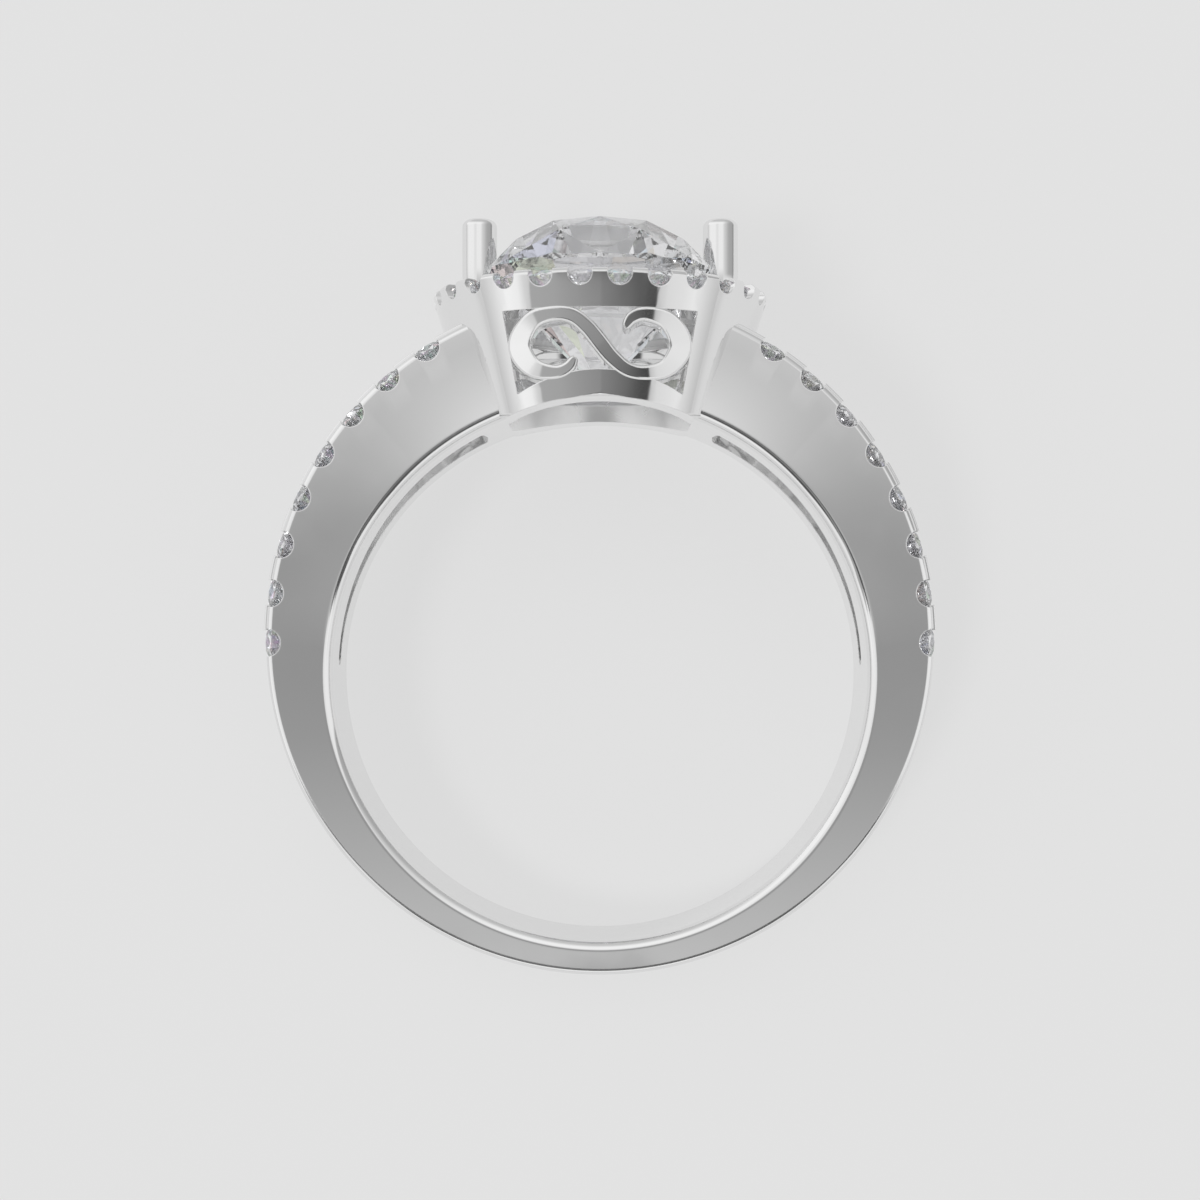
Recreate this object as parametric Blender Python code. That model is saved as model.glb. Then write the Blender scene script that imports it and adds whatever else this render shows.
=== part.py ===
"""A halo ring in polished white metal, laid on its side.

A square cushion-cut stone stands on two prongs above a cushion-shaped halo of small round stones. The
halo's tapered head has a pierced window with a lying S-scroll at the front and at the back, and it rides
on a split shank whose four arms each carry a row of eight small stones. The casting, with its scrolls and
prongs, is one solid. The centre stone and each halo stone are solids of their own, and each arm's eight
stones are fused to one bed strip.

Every shape is made in the ring's own frame, in metres: x across the ring, y along the finger, z up to the
head, with the origin in the middle of the finger hole. The empty that carries them lays the ring on its
back, on the halo's rim and the foot of the shank.
"""

import math

import bmesh
import bpy
from mathutils import Matrix, Vector

MM = 0.001

# Finger hole and shank
HOLE_RADIUS = 8.65 * MM
OUTLINE_CENTRE_Z = 1.0 * MM
OUTLINE_RADIUS = 10.77 * MM
OUTLINE_RISE = 10.98 * MM  # the outline's upper half is this tall
FOOT_HALF_WIDTH = 1.42 * MM
SIDE_HALF_WIDTH = 1.83 * MM
SHOULDER_HALF_WIDTH = 3.10 * MM
SPREAD_POWER = 1.2
OUTER_CHAMFER = 0.15 * MM
INNER_CHAMFER = 0.25 * MM
SIDE_TURN = math.radians(90)  # turns are measured from the foot of the ring
SHOULDER_TURN = math.radians(156.7)
SHANK_END_TURN = math.radians(160)
SHANK_FACETS = 45  # odd, so that one of them is the flat foot

# Slit between the arms
SLIT_FOOT_TURN = math.radians(86.3)
SLIT_TOP_TURN = math.radians(151.4)
ARM_WIDTH_FOOT = 1.56 * MM
ARM_WIDTH_TOP = 1.70 * MM
SLIT_STEPS = 10

# Rows of small stones on the arms
ROW_STONES = 8
ROW_FIRST_TURN = math.radians(90.3)
ROW_LAST_TURN = math.radians(149.6)
ROW_STONE_RADIUS = 0.69 * MM
ROW_SINK = 0.03 * MM
ROW_NOTCH_WIDTH = 0.90 * MM
ROW_NOTCH_DEPTH = 0.56 * MM
BED_HALF_WIDTH = 0.22 * MM
BED_TOP = -0.50 * MM
BED_BOTTOM = -0.80 * MM
TRENCH_GAP = 0.10 * MM

# Head
HEAD_BOTTOM_Z = 8.30 * MM
RIM_Z = 12.16 * MM
HEAD_TOP_Z = 12.36 * MM
RIM_HALF = 5.48 * MM
HEAD_TAPER = 0.31
HEAD_EDGE = 0.16 * MM
HEAD_FOOT_INSET = 0.24 * MM
HEAD_POWER = 2.5
HEAD_FACETS = 56
CAVITY_FACETS = 40
CAVITY_HALF = 3.00 * MM  # at the head's bottom
CEILING_Z = 11.35 * MM
SEAT_FOOT_Z = 11.90 * MM
SEAT_GAP = 0.10 * MM

# Windows and scrolls
WINDOW_TOP_Z = 11.25 * MM
WINDOW_TOP_HALF = 2.98 * MM
WINDOW_CORNER_Z = 8.79 * MM
WINDOW_CORNER_HALF = 2.55 * MM
WINDOW_ARCH_Z = 9.46 * MM
FINGER_ARCH_HALF = 2.45 * MM  # past this the head's underside is flat
ARCH_STEPS = 8
THROUGH = 6.5 * MM  # half of a cutter that goes right through the head
SCROLL_Z = 10.225 * MM
SCROLL_DEPTH = 1.0 * MM
SCROLL_RECESS = 0.06 * MM
# One half of the scroll's middle line, from its hook to the ring's middle, in millimetres
SCROLL_HALF = (
    # across, up, band width
    (-0.74, -0.38, 0.30),
    (-0.98, -0.74, 0.38),
    (-1.42, -0.87, 0.44),
    (-2.10, -0.66, 0.55),
    (-2.50, 0.00, 0.70),
    (-2.12, 0.66, 0.55),
    (-1.42, 0.86, 0.45),
    (-0.72, 0.52, 0.48),
)
SCROLL_MIDDLE_WIDTH = 0.50
SCROLL_SMOOTH = 3

# Halo stones
HALO_STONES = 28
HALO_PATH_HALF = 4.72 * MM
HALO_STONE_RADIUS = 0.50 * MM
HALO_SINK = -0.02 * MM
HALO_NOTCH_WIDTH = 0.75 * MM
HALO_NOTCH_DEPTH = 0.56 * MM
HALO_POCKET_DEPTH = 0.66 * MM

# Small round stones, as shares of their radius
SMALL_SIDES = 10
SMALL_TABLE = 0.56
SMALL_CROWN = 0.31
SMALL_GIRDLE = 0.06
SMALL_PAVILION = 0.84
POCKET_GAP = 0.03 * MM
POCKET_DEPTH = 0.95 * MM
NOTCH_STEPS = 4
NOTCH_FROM = 0.1 * MM  # from the stone's axis
NOTCH_REACH = 1.4 * MM
ABOVE = 0.45 * MM  # how far a cutter reaches past the surface that it opens

# Centre stone
STONE_HALF = 3.71 * MM
STONE_POWER = 2.7
STONE_SIDES = 32
GIRDLE_TOP_Z = 13.19 * MM
GIRDLE_BOTTOM_Z = 13.03 * MM
TABLE_Z = 14.69 * MM
TABLE_RADIUS = 2.11 * MM
STAR_RADIUS = 3.01 * MM
STAR_Z = 14.14 * MM
STAR_SPREAD = math.radians(26.2)  # from the nearer axis
CULET_Z = 9.45 * MM
STONE_CLEARANCE = 1.018  # the prongs are cut to the stone's shape, this much larger

# Prongs
PRONG_X = 4.0 * MM
PRONG_RADIUS = 0.56 * MM
PRONG_FOOT_Z = 11.55 * MM
PRONG_TOP_Z = 15.07 * MM
PRONG_SIDES = 12


def make_material(name, colour, metallic, roughness):
    """A Principled BSDF with one colour."""
    material = bpy.data.materials.new(name)
    material.use_nodes = True
    shader = material.node_tree.nodes["Principled BSDF"]
    shader.inputs["Base Color"].default_value = (*colour, 1)
    shader.inputs["Metallic"].default_value = metallic
    shader.inputs["Roughness"].default_value = roughness
    return material


def make_object(name, shape, material=None):
    """An object from a bmesh. One without a material is a cutter or helper and isn't part of the ring."""
    bmesh.ops.recalc_face_normals(shape, faces=shape.faces)
    mesh = bpy.data.meshes.new(name)
    shape.to_mesh(mesh)
    shape.free()
    made = bpy.data.objects.new(name, mesh)
    bpy.context.scene.collection.objects.link(made)
    if material:
        mesh.materials.append(material)
    else:
        made.hide_render = True
        made.display_type = "WIRE"
    return made


def add_loft(shape, rings):
    """One closed body through rings of equally many points, with a flat cap at each end."""
    rows = [[shape.verts.new(point) for point in ring] for ring in rings]
    count = len(rows[0])
    for low, high in zip(rows, rows[1:]):
        for i in range(count):
            j = (i + 1) % count
            shape.faces.new((low[i], low[j], high[j], high[i]))
    shape.faces.new(rows[0])
    shape.faces.new(rows[-1])


def loft(name, bodies, material=None):
    """An object of one or more lofted bodies that don't touch."""
    shape = bmesh.new()
    for rings in bodies:
        add_loft(shape, rings)
    return make_object(name, shape, material)


def combine(body, tool, operation):
    """Joins tool to body, or cuts it out."""
    modifier = body.modifiers.new(tool.name, "BOOLEAN")
    modifier.operation = operation
    modifier.solver = "EXACT"
    modifier.object = tool


def cushion(half, power, count, offset=0.0):
    """Points at equal steps round a cushion outline, counter-clockwise from offset steps past the front."""
    fine = 40 * count  # steps short enough to measure the outline's length by
    outline = []
    for i in range(fine + 1):
        angle = 2 * math.pi * i / fine - math.pi / 2
        x, y = math.cos(angle), math.sin(angle)
        reach = half / (abs(x) ** power + abs(y) ** power) ** (1 / power)
        outline.append(Vector((reach * x, reach * y)))
    lengths = [0.0]
    for a, b in zip(outline, outline[1:]):
        lengths.append(lengths[-1] + (b - a).length)
    points, at = [], 0
    for i in range(count):
        wanted = lengths[-1] * ((i + offset) % count) / count
        at = next(k for k in range(fine) if lengths[k + 1] >= wanted)
        share = (wanted - lengths[at]) / (lengths[at + 1] - lengths[at])
        points.append(outline[at].lerp(outline[at + 1], share))
    return points


def ring_at(points, z, scale=1.0):
    """The outline's points at one height."""
    return [Vector((p.x * scale, p.y * scale, z)) for p in points]


def outline_point(turn):
    """The shank's outer outline (x, z), at an angle turned from the foot."""
    rise = OUTLINE_RADIUS if abs(turn) < SIDE_TURN else OUTLINE_RISE
    return OUTLINE_RADIUS * math.sin(turn), OUTLINE_CENTRE_Z - rise * math.cos(turn)


def outline_normal(turn):
    """The outline's outward direction in the ring's plane."""
    rise = OUTLINE_RADIUS if abs(turn) < SIDE_TURN else OUTLINE_RISE
    return Vector((math.sin(turn) / OUTLINE_RADIUS, 0, -math.cos(turn) / rise)).normalized()


def half_width(turn, z=None):
    """Half of the shank's width. Below the arms its two side faces are flat, so there it follows the height."""
    if abs(turn) <= SIDE_TURN:
        foot = OUTLINE_CENTRE_Z - OUTLINE_RADIUS
        z = outline_point(turn)[1] if z is None else z
        share = (z - foot) / (OUTLINE_CENTRE_Z - foot)
        return FOOT_HALF_WIDTH + (SIDE_HALF_WIDTH - FOOT_HALF_WIDTH) * share
    share = (abs(turn) - SIDE_TURN) / (SHOULDER_TURN - SIDE_TURN)
    return SIDE_HALF_WIDTH + (SHOULDER_HALF_WIDTH - SIDE_HALF_WIDTH) * share**SPREAD_POWER


def arm_width(turn):
    """The width of one arm, from the foot of the slit to its top."""
    share = (abs(turn) - SLIT_FOOT_TURN) / (SLIT_TOP_TURN - SLIT_FOOT_TURN)
    return ARM_WIDTH_FOOT + (ARM_WIDTH_TOP - ARM_WIDTH_FOOT) * share


def arm_middle(turn):
    """How far from the ring's middle plane an arm's middle runs."""
    return half_width(turn) - arm_width(turn) / 2


def head_half(z):
    """Half of the head's width at a height below the rim."""
    return RIM_HALF - HEAD_TAPER * (RIM_Z - z)


def pavilion_half(z):
    """Half of the centre stone's width at a height below its girdle."""
    return STONE_HALF * (z - CULET_Z) / (GIRDLE_BOTTOM_Z - CULET_Z)


def shank_section(turn):
    """The shank's cross-section where a plane through the finger's axis cuts it."""
    x, z = outline_point(turn)
    reach = math.hypot(x, z)
    way = Vector((x / reach, 0, z / reach))

    def corner(radius, inset):
        point = way * radius
        return point, half_width(turn, point.z) - inset

    side = [
        corner(reach, OUTER_CHAMFER),
        corner(reach - OUTER_CHAMFER, 0),
        corner(HOLE_RADIUS + INNER_CHAMFER, 0),
        corner(HOLE_RADIUS, INNER_CHAMFER),
    ]
    front = [Vector((p.x, -y, p.z)) for p, y in side]
    back = [Vector((p.x, y, p.z)) for p, y in reversed(side)]
    return front + back


def make_shank(material):
    """The band from shoulder to shoulder, before the slit is cut."""
    step = 2 * SHANK_END_TURN / SHANK_FACETS
    turns = [step * i - SHANK_END_TURN for i in range(SHANK_FACETS + 1)]
    return loft("ring_body", [[shank_section(turn) for turn in turns]], material)


def sweep_on_outline(side, first, last, steps, corners_at):
    """Rings along the outline from one turn to another. corners_at gives (y, height) pairs at a turn."""
    rings = []
    for i in range(steps + 1):
        turn = first + (last - first) * i / steps
        x, z = outline_point(turn)
        normal = outline_normal(turn)
        rings.append([
            Vector((side * (x + normal.x * height), y, z + normal.z * height))
            for y, height in corners_at(turn)
        ])
    return rings


def make_slit_cutter():
    """The wedge between the two arms of each side."""
    deep = -4.2 * MM
    high = 1.5 * MM

    def corners(turn):
        half_gap = half_width(turn) - arm_width(turn)
        return (-half_gap, deep), (half_gap, deep), (half_gap, high), (-half_gap, high)

    bodies = [
        sweep_on_outline(side, SLIT_FOOT_TURN, SLIT_TOP_TURN, SLIT_STEPS, corners) for side in (-1, 1)
    ]
    return loft("slit_cutter", bodies)


def row_strip(side, face, half, bottom, top, past=0.0):
    """A strip under one arm's row of stones."""

    def corners(turn):
        middle = face * arm_middle(turn)
        return (middle - half, bottom), (middle + half, bottom), (middle + half, top), (middle - half, top)

    first, last = ROW_FIRST_TURN - past, ROW_LAST_TURN + past
    return sweep_on_outline(side, first, last, ROW_STONES - 1, corners)


def row_frames(side, face):
    """Where the stones of one arm sit: x along the row, z out of the surface."""
    for i in range(ROW_STONES):
        turn = ROW_FIRST_TURN + (ROW_LAST_TURN - ROW_FIRST_TURN) * i / (ROW_STONES - 1)
        x, z = outline_point(turn)
        normal = outline_normal(turn)
        up = Vector((side * normal.x, 0, normal.z))
        along = Vector((up.z, 0, -up.x))
        place = Matrix((along, Vector((0, 1, 0)), up)).transposed().to_4x4()
        place.translation = Vector((side * x, face * arm_middle(turn), z))
        yield place


def halo_frames():
    """Where the halo stones sit: x along the halo, y outwards, z up."""
    middles = cushion(HALO_PATH_HALF, HEAD_POWER, HALO_STONES, 0.5)
    for i, middle in enumerate(middles):
        before, after = middles[i - 1], middles[(i + 1) % HALO_STONES]
        along = (before - after).normalized()
        place = Matrix.Rotation(math.atan2(along.y, along.x), 4, "Z")
        place.translation = Vector((middle.x, middle.y, HEAD_TOP_Z))
        yield place


def round_ring(radius, z, sides=SMALL_SIDES):
    """A regular outline with a flat side towards each neighbour."""
    return [
        Vector((
            radius * math.cos(2 * math.pi * (i + 0.5) / sides),
            radius * math.sin(2 * math.pi * (i + 0.5) / sides),
            z,
        ))
        for i in range(sides)
    ]


def add_small_stone(shape, place, radius, sink):
    """A small round stone with its table and its crown and pavilion facets."""
    girdle_top = -sink - SMALL_CROWN * radius
    girdle_bottom = girdle_top - SMALL_GIRDLE * radius
    points = round_ring(SMALL_TABLE * radius, -sink)
    points += round_ring(radius, girdle_top) + round_ring(radius, girdle_bottom)
    points.append(Vector((0, 0, girdle_bottom - SMALL_PAVILION * radius)))
    corners = [shape.verts.new(place @ point) for point in points]
    bmesh.ops.convex_hull(shape, input=corners)


def pocket(place, radius, depth):
    """The cutter of one small stone's seat."""
    wide = radius + POCKET_GAP
    return [[place @ point for point in round_ring(wide, z)] for z in (-depth, ABOVE)]


def notch(place, width, depth, face):
    """The cutter of the U-shaped opening beside one stone, towards y times face."""
    bend = width / 2
    outline = [Vector((bend, 0, ABOVE)), Vector((-bend, 0, ABOVE))]
    for i in range(NOTCH_STEPS + 1):
        angle = math.pi * (1 + i / NOTCH_STEPS)
        outline.append(Vector((bend * math.cos(angle), 0, bend - depth + bend * math.sin(angle))))
    return [
        [place @ (point + Vector((0, y * face, 0))) for point in outline] for y in (NOTCH_FROM, NOTCH_REACH)
    ]


def make_head():
    """The tapered head, solid as yet."""
    outline = cushion(1.0, HEAD_POWER, HEAD_FACETS, 0.5)
    low = HEAD_BOTTOM_Z + HEAD_EDGE
    rings = [
        ring_at(outline, HEAD_BOTTOM_Z, head_half(low) - HEAD_FOOT_INSET),
        ring_at(outline, low, head_half(low)),
        ring_at(outline, RIM_Z, RIM_HALF),
        ring_at(outline, HEAD_TOP_Z, RIM_HALF - HEAD_EDGE),
    ]
    return loft("head_helper", [rings])


def make_cavity_cutter():
    """The hollow under the centre stone, from the finger hole to the stone's seat."""
    outline = cushion(1.0, HEAD_POWER, CAVITY_FACETS, 0.25)
    foot = 7.6 * MM
    top = 12.6 * MM
    neck = pavilion_half(SEAT_FOOT_Z) + SEAT_GAP
    rings = [
        ring_at(outline, foot, CAVITY_HALF - HEAD_TAPER * (HEAD_BOTTOM_Z - foot)),
        ring_at(outline, CEILING_Z, CAVITY_HALF + HEAD_TAPER * (CEILING_Z - HEAD_BOTTOM_Z)),
        ring_at(outline, CEILING_Z, neck),
        ring_at(outline, SEAT_FOOT_Z, neck),
        ring_at(outline, top, pavilion_half(top) + SEAT_GAP),
    ]
    return loft("cavity_cutter", [rings])


def arc(half_chord, edge_z, crown_z, steps):
    """Points (x, z) from left to right on a round arch."""
    rise = crown_z - edge_z
    radius = (half_chord**2 + rise**2) / (2 * rise)
    reach = math.asin(half_chord / radius)
    angles = [reach * (2 * i / steps - 1) for i in range(steps + 1)]
    return [(radius * math.sin(a), crown_z - radius + radius * math.cos(a)) for a in angles]


def prism(name, outline, half_depth):
    """A straight body along y with an outline (x, z)."""
    return loft(name, [[[Vector((x, y, z)) for x, z in outline] for y in (-half_depth, half_depth)]])


def make_arch_cutter():
    """The finger's round, where it runs under the head's two rails."""
    edge = math.sqrt(HOLE_RADIUS**2 - FINGER_ARCH_HALF**2)
    below = HEAD_BOTTOM_Z - ABOVE
    outline = arc(FINGER_ARCH_HALF, edge, HOLE_RADIUS, ARCH_STEPS)
    outline += [(FINGER_ARCH_HALF, below), (-FINGER_ARCH_HALF, below)]
    return prism("arch_cutter", outline, THROUGH)


def make_window_cutter():
    """Both windows at once."""
    outline = arc(WINDOW_CORNER_HALF, WINDOW_CORNER_Z, WINDOW_ARCH_Z, ARCH_STEPS)
    outline += [(WINDOW_TOP_HALF, WINDOW_TOP_Z), (-WINDOW_TOP_HALF, WINDOW_TOP_Z)]
    return prism("window_cutter", outline, THROUGH)


def smooth_path(rows, steps):
    """Rows of values read from a smooth curve through the given rows."""
    ends = [rows[0]] + list(rows) + [rows[-1]]
    path = []
    for before, a, b, after in zip(ends, ends[1:], ends[2:], ends[3:]):
        for i in range(steps):
            t = i / steps
            path.append([
                0.5 * (2 * q + (r - p) * t + (2 * p - 5 * q + 4 * r - s) * t**2 + (3 * q - p - 3 * r + s) * t**3)
                for p, q, r, s in zip(before, a, b, after)
            ])
    return path + [list(rows[-1])]


def scroll_rings(face):
    """The scroll as a band of varying width that follows the head's wall."""
    half = list(SCROLL_HALF)
    rows = half + [(0.0, 0.0, SCROLL_MIDDLE_WIDTH)] + [(-x, -z, width) for x, z, width in reversed(half)]
    path = smooth_path(rows, SCROLL_SMOOTH)
    rings = []
    for i, (x, z, width) in enumerate(path):
        before, after = path[max(i - 1, 0)], path[min(i + 1, len(path) - 1)]
        along = Vector((after[0] - before[0], after[1] - before[1])).normalized()
        sideways = Vector((-along.y, along.x)) * width / 2
        ring = []
        for edge, depth in ((1, 0), (-1, 0), (-1, SCROLL_DEPTH), (1, SCROLL_DEPTH)):
            px = (x + edge * sideways.x) * MM
            pz = SCROLL_Z + (z + edge * sideways.y) * MM
            wall = head_half(pz)
            reach = wall * (1 - (abs(px) / wall) ** HEAD_POWER) ** (1 / HEAD_POWER)
            ring.append(Vector((-face * px, face * (reach - SCROLL_RECESS - depth), pz)))
        rings.append(ring)
    return rings


def make_prongs():
    """Two upright prongs with rounded tips."""
    levels = (
        # share of the radius, height
        (1.0, PRONG_FOOT_Z),
        (1.0, PRONG_TOP_Z - 0.40 * MM),
        (0.88, PRONG_TOP_Z - 0.17 * MM),
        (0.55, PRONG_TOP_Z - 0.03 * MM),
        (0.20, PRONG_TOP_Z),
    )
    bodies = []
    for side in (-1, 1):
        shift = Vector((side * PRONG_X, 0, 0))
        bodies.append([
            [point + shift for point in round_ring(share * PRONG_RADIUS, z, PRONG_SIDES)]
            for share, z in levels
        ])
    return loft("prong_helper", bodies)


def centre_stone_points():
    """The corners of the centre stone: table, star, girdle and pavilion."""
    points = []
    for i in range(8):
        angle = math.pi * i / 4
        points.append(Vector((TABLE_RADIUS * math.cos(angle), TABLE_RADIUS * math.sin(angle), TABLE_Z)))
    for quarter in range(4):
        for spread in (STAR_SPREAD, math.pi / 2 - STAR_SPREAD):
            angle = quarter * math.pi / 2 + spread
            points.append(Vector((STAR_RADIUS * math.cos(angle), STAR_RADIUS * math.sin(angle), STAR_Z)))
    girdle = cushion(STONE_HALF, STONE_POWER, STONE_SIDES)
    points += ring_at(girdle, GIRDLE_TOP_Z) + ring_at(girdle, GIRDLE_BOTTOM_Z)
    points.append(Vector((0, 0, CULET_Z)))
    return points


def make_centre_stone(name, scale=1.0, material=None):
    """The centre stone, or its larger copy that cuts the prongs."""
    middle = Vector((0, 0, (GIRDLE_TOP_Z + GIRDLE_BOTTOM_Z) / 2))
    shape = bmesh.new()
    corners = [shape.verts.new(middle + (point - middle) * scale) for point in centre_stone_points()]
    bmesh.ops.convex_hull(shape, input=corners)
    return make_object(name, shape, material)


def arms():
    """Each arm's name and its signs: side is -1 at the left, face is -1 at the front."""
    for face, depth in ((-1, "front"), (1, "back")):
        for side, hand in ((-1, "left"), (1, "right")):
            yield f"{depth}_{hand}", side, face


def make_ring_body(material):
    """The whole casting: shank, head, scrolls and prongs, with the seats cut in."""
    body = make_shank(material)
    combine(body, make_slit_cutter(), "DIFFERENCE")
    combine(body, make_head(), "UNION")
    combine(body, make_arch_cutter(), "DIFFERENCE")
    combine(body, make_cavity_cutter(), "DIFFERENCE")
    combine(body, make_window_cutter(), "DIFFERENCE")
    combine(body, loft("scroll_helper", [scroll_rings(-1), scroll_rings(1)]), "UNION")
    combine(body, make_prongs(), "UNION")
    combine(body, make_centre_stone("stone_cutter", STONE_CLEARANCE), "DIFFERENCE")

    rows = [(list(row_frames(side, face)), face) for _, side, face in arms()]
    halo = list(halo_frames())
    for name, first in (("odd", 0), ("even", 1)):
        seats = [pocket(place, HALO_STONE_RADIUS, HALO_POCKET_DEPTH) for place in halo[first::2]]
        for places, _ in rows:
            seats += [pocket(place, ROW_STONE_RADIUS, POCKET_DEPTH) for place in places[first::2]]
        combine(body, loft(f"{name}_seat_cutter", seats), "DIFFERENCE")

    notches = [notch(place, HALO_NOTCH_WIDTH, HALO_NOTCH_DEPTH, 1) for place in halo]
    for places, face in rows:
        notches += [notch(place, ROW_NOTCH_WIDTH, ROW_NOTCH_DEPTH, face) for place in places]
    combine(body, loft("notch_cutter", notches), "DIFFERENCE")

    half = BED_HALF_WIDTH + TRENCH_GAP
    past = math.radians(1.5)
    floor = BED_BOTTOM - TRENCH_GAP
    trenches = [row_strip(side, face, half, floor, ABOVE, past) for _, side, face in arms()]
    combine(body, loft("trench_cutter", trenches), "DIFFERENCE")
    return body


def make_halo_stones(material):
    """Twenty-eight round stones, numbered counter-clockwise from the front."""
    stones = []
    for i, place in enumerate(halo_frames()):
        shape = bmesh.new()
        add_small_stone(shape, place, HALO_STONE_RADIUS, HALO_SINK)
        stones.append(make_object(f"halo_stone_{i + 1:02d}", shape, material))
    return stones


def make_rows(material):
    """One object for each arm: its eight stones, fused to the strip that they are bedded in."""
    made = []
    for name, side, face in arms():
        strip = row_strip(side, face, BED_HALF_WIDTH, BED_BOTTOM, BED_TOP)
        row = loft(f"pave_row_{name}", [strip], material)
        shape = bmesh.new()
        for place in row_frames(side, face):
            add_small_stone(shape, place, ROW_STONE_RADIUS, ROW_SINK)
        combine(row, make_object(f"stones_{name}", shape), "UNION")
        made.append(row)
    return made


def lay_on_back(nodes):
    """Turns the ring on its back and centres its box over the origin, with its lowest point at height 0."""
    foot = shank_section(SHANK_END_TURN / SHANK_FACETS)[-2]
    tilt = math.atan2(RIM_HALF - foot.y, RIM_Z - foot.z)
    frame = bpy.data.objects.new("ring_frame", None)
    bpy.context.scene.collection.objects.link(frame)
    frame.rotation_euler = (tilt - math.pi / 2, 0, 0)
    for made in bpy.data.objects:
        if made is not frame:
            made.parent = frame
    bpy.context.view_layer.update()
    graph = bpy.context.evaluated_depsgraph_get()
    corners = []
    for node in nodes:
        evaluated = node.evaluated_get(graph)
        corners += [evaluated.matrix_world @ vertex.co for vertex in evaluated.data.vertices]
    low = [min(corner[axis] for corner in corners) for axis in range(3)]
    high = [max(corner[axis] for corner in corners) for axis in range(3)]
    frame.location = (-(low[0] + high[0]) / 2, -(low[1] + high[1]) / 2, -low[2])


def main():
    for old in list(bpy.data.objects):
        bpy.data.objects.remove(old)
    white_gold = make_material("white_gold", (0.80, 0.80, 0.79), 1.0, 0.08)
    diamond = make_material("diamond", (0.97, 0.98, 1.0), 0.0, 0.0)
    nodes = [make_ring_body(white_gold), make_centre_stone("centre_stone", material=diamond)]
    nodes += make_halo_stones(diamond)
    nodes += make_rows(diamond)
    lay_on_back(nodes)


main()
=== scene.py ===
"""A halo ring in polished white gold, set with diamonds, laid on its side on a pale floor.

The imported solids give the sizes. This script dresses them: the casting is replaced by a finely modelled
shank, head, pair of scrolls, prongs and beads, and every stone by one with its real facets. All pieces are
modelled in the ring's own frame (x across, y along the finger, z up to the head, origin in the middle of
the finger hole) and are then laid down where the solids lie.
"""

from __future__ import annotations

import itertools
import logging
import math
import sys
from collections.abc import Callable, Iterable, Iterator
from dataclasses import dataclass, field
from enum import Enum

import bpy
from mathutils import Matrix, Vector


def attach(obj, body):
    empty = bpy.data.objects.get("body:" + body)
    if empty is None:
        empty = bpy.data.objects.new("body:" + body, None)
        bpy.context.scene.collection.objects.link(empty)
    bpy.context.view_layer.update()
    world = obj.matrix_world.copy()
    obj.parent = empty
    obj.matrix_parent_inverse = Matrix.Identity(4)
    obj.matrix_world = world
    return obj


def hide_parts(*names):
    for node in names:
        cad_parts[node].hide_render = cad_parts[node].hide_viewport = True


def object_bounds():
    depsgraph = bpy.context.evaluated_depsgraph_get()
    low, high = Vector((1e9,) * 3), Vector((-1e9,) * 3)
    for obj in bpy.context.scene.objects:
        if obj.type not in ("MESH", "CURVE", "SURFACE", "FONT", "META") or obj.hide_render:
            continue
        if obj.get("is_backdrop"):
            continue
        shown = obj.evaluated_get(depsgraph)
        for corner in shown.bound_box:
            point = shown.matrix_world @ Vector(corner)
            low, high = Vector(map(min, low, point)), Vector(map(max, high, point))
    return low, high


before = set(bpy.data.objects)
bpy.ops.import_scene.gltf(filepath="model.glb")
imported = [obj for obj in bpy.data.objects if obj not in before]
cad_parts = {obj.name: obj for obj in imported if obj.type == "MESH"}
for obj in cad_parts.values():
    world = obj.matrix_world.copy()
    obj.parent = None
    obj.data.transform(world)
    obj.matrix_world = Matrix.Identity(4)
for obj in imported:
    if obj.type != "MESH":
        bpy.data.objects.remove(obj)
CAD_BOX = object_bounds()

MM = 0.001
NEAR = 1e-7
STONE_TURN = 0.67  # how far each small stone is turned from its neighbour, so that no two look alike
TO_SECTION = Matrix(((0, 0, 1, 0), (1, 0, 0, 0), (0, 1, 0, 0), (0, 0, 0, 1)))  # x to y, y to z, z to x
LOG = logging.getLogger("halo_ring")

# Short names for what the functions pass round
Piece = bpy.types.Object
Material = bpy.types.Material
Tree = bpy.types.NodeTree
Socket = bpy.types.NodeSocket
Stops = tuple[tuple[float, float], ...]


class Side(Enum):
    """Which side of the ring, as the sign of x."""

    LEFT = -1
    RIGHT = 1


class Face(Enum):
    """Which face of the ring, as the sign of y."""

    FRONT = -1
    BACK = 1


# Work at the bench


def deselect_all() -> None:
    """Goes to object mode with nothing selected, so that a new primitive is alone."""
    if bpy.context.mode != "OBJECT":
        bpy.ops.object.mode_set(mode="OBJECT")
    bpy.ops.object.select_all(action="DESELECT")


def take(made: Piece) -> None:
    """Makes one object the only one that is selected, and active."""
    deselect_all()
    made.select_set(True)
    bpy.context.view_layer.objects.active = made


def select_all() -> None:
    """Selects everything in edit mode."""
    bpy.ops.mesh.select_all(action="SELECT")


def edit_all(made: Piece) -> None:
    """Opens an object in edit mode with everything selected."""
    take(made)
    bpy.ops.object.mode_set(mode="EDIT")
    bpy.ops.mesh.select_mode(type="VERT")
    select_all()


def extrude(x: float, y: float, z: float) -> None:
    """Extrudes what is selected in edit mode, by a vector."""
    bpy.ops.mesh.extrude_region_move(TRANSFORM_OT_translate={"value": (x, y, z)})


def leave_edit() -> None:
    """Goes back to object mode."""
    bpy.ops.object.mode_set(mode="OBJECT")


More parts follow.
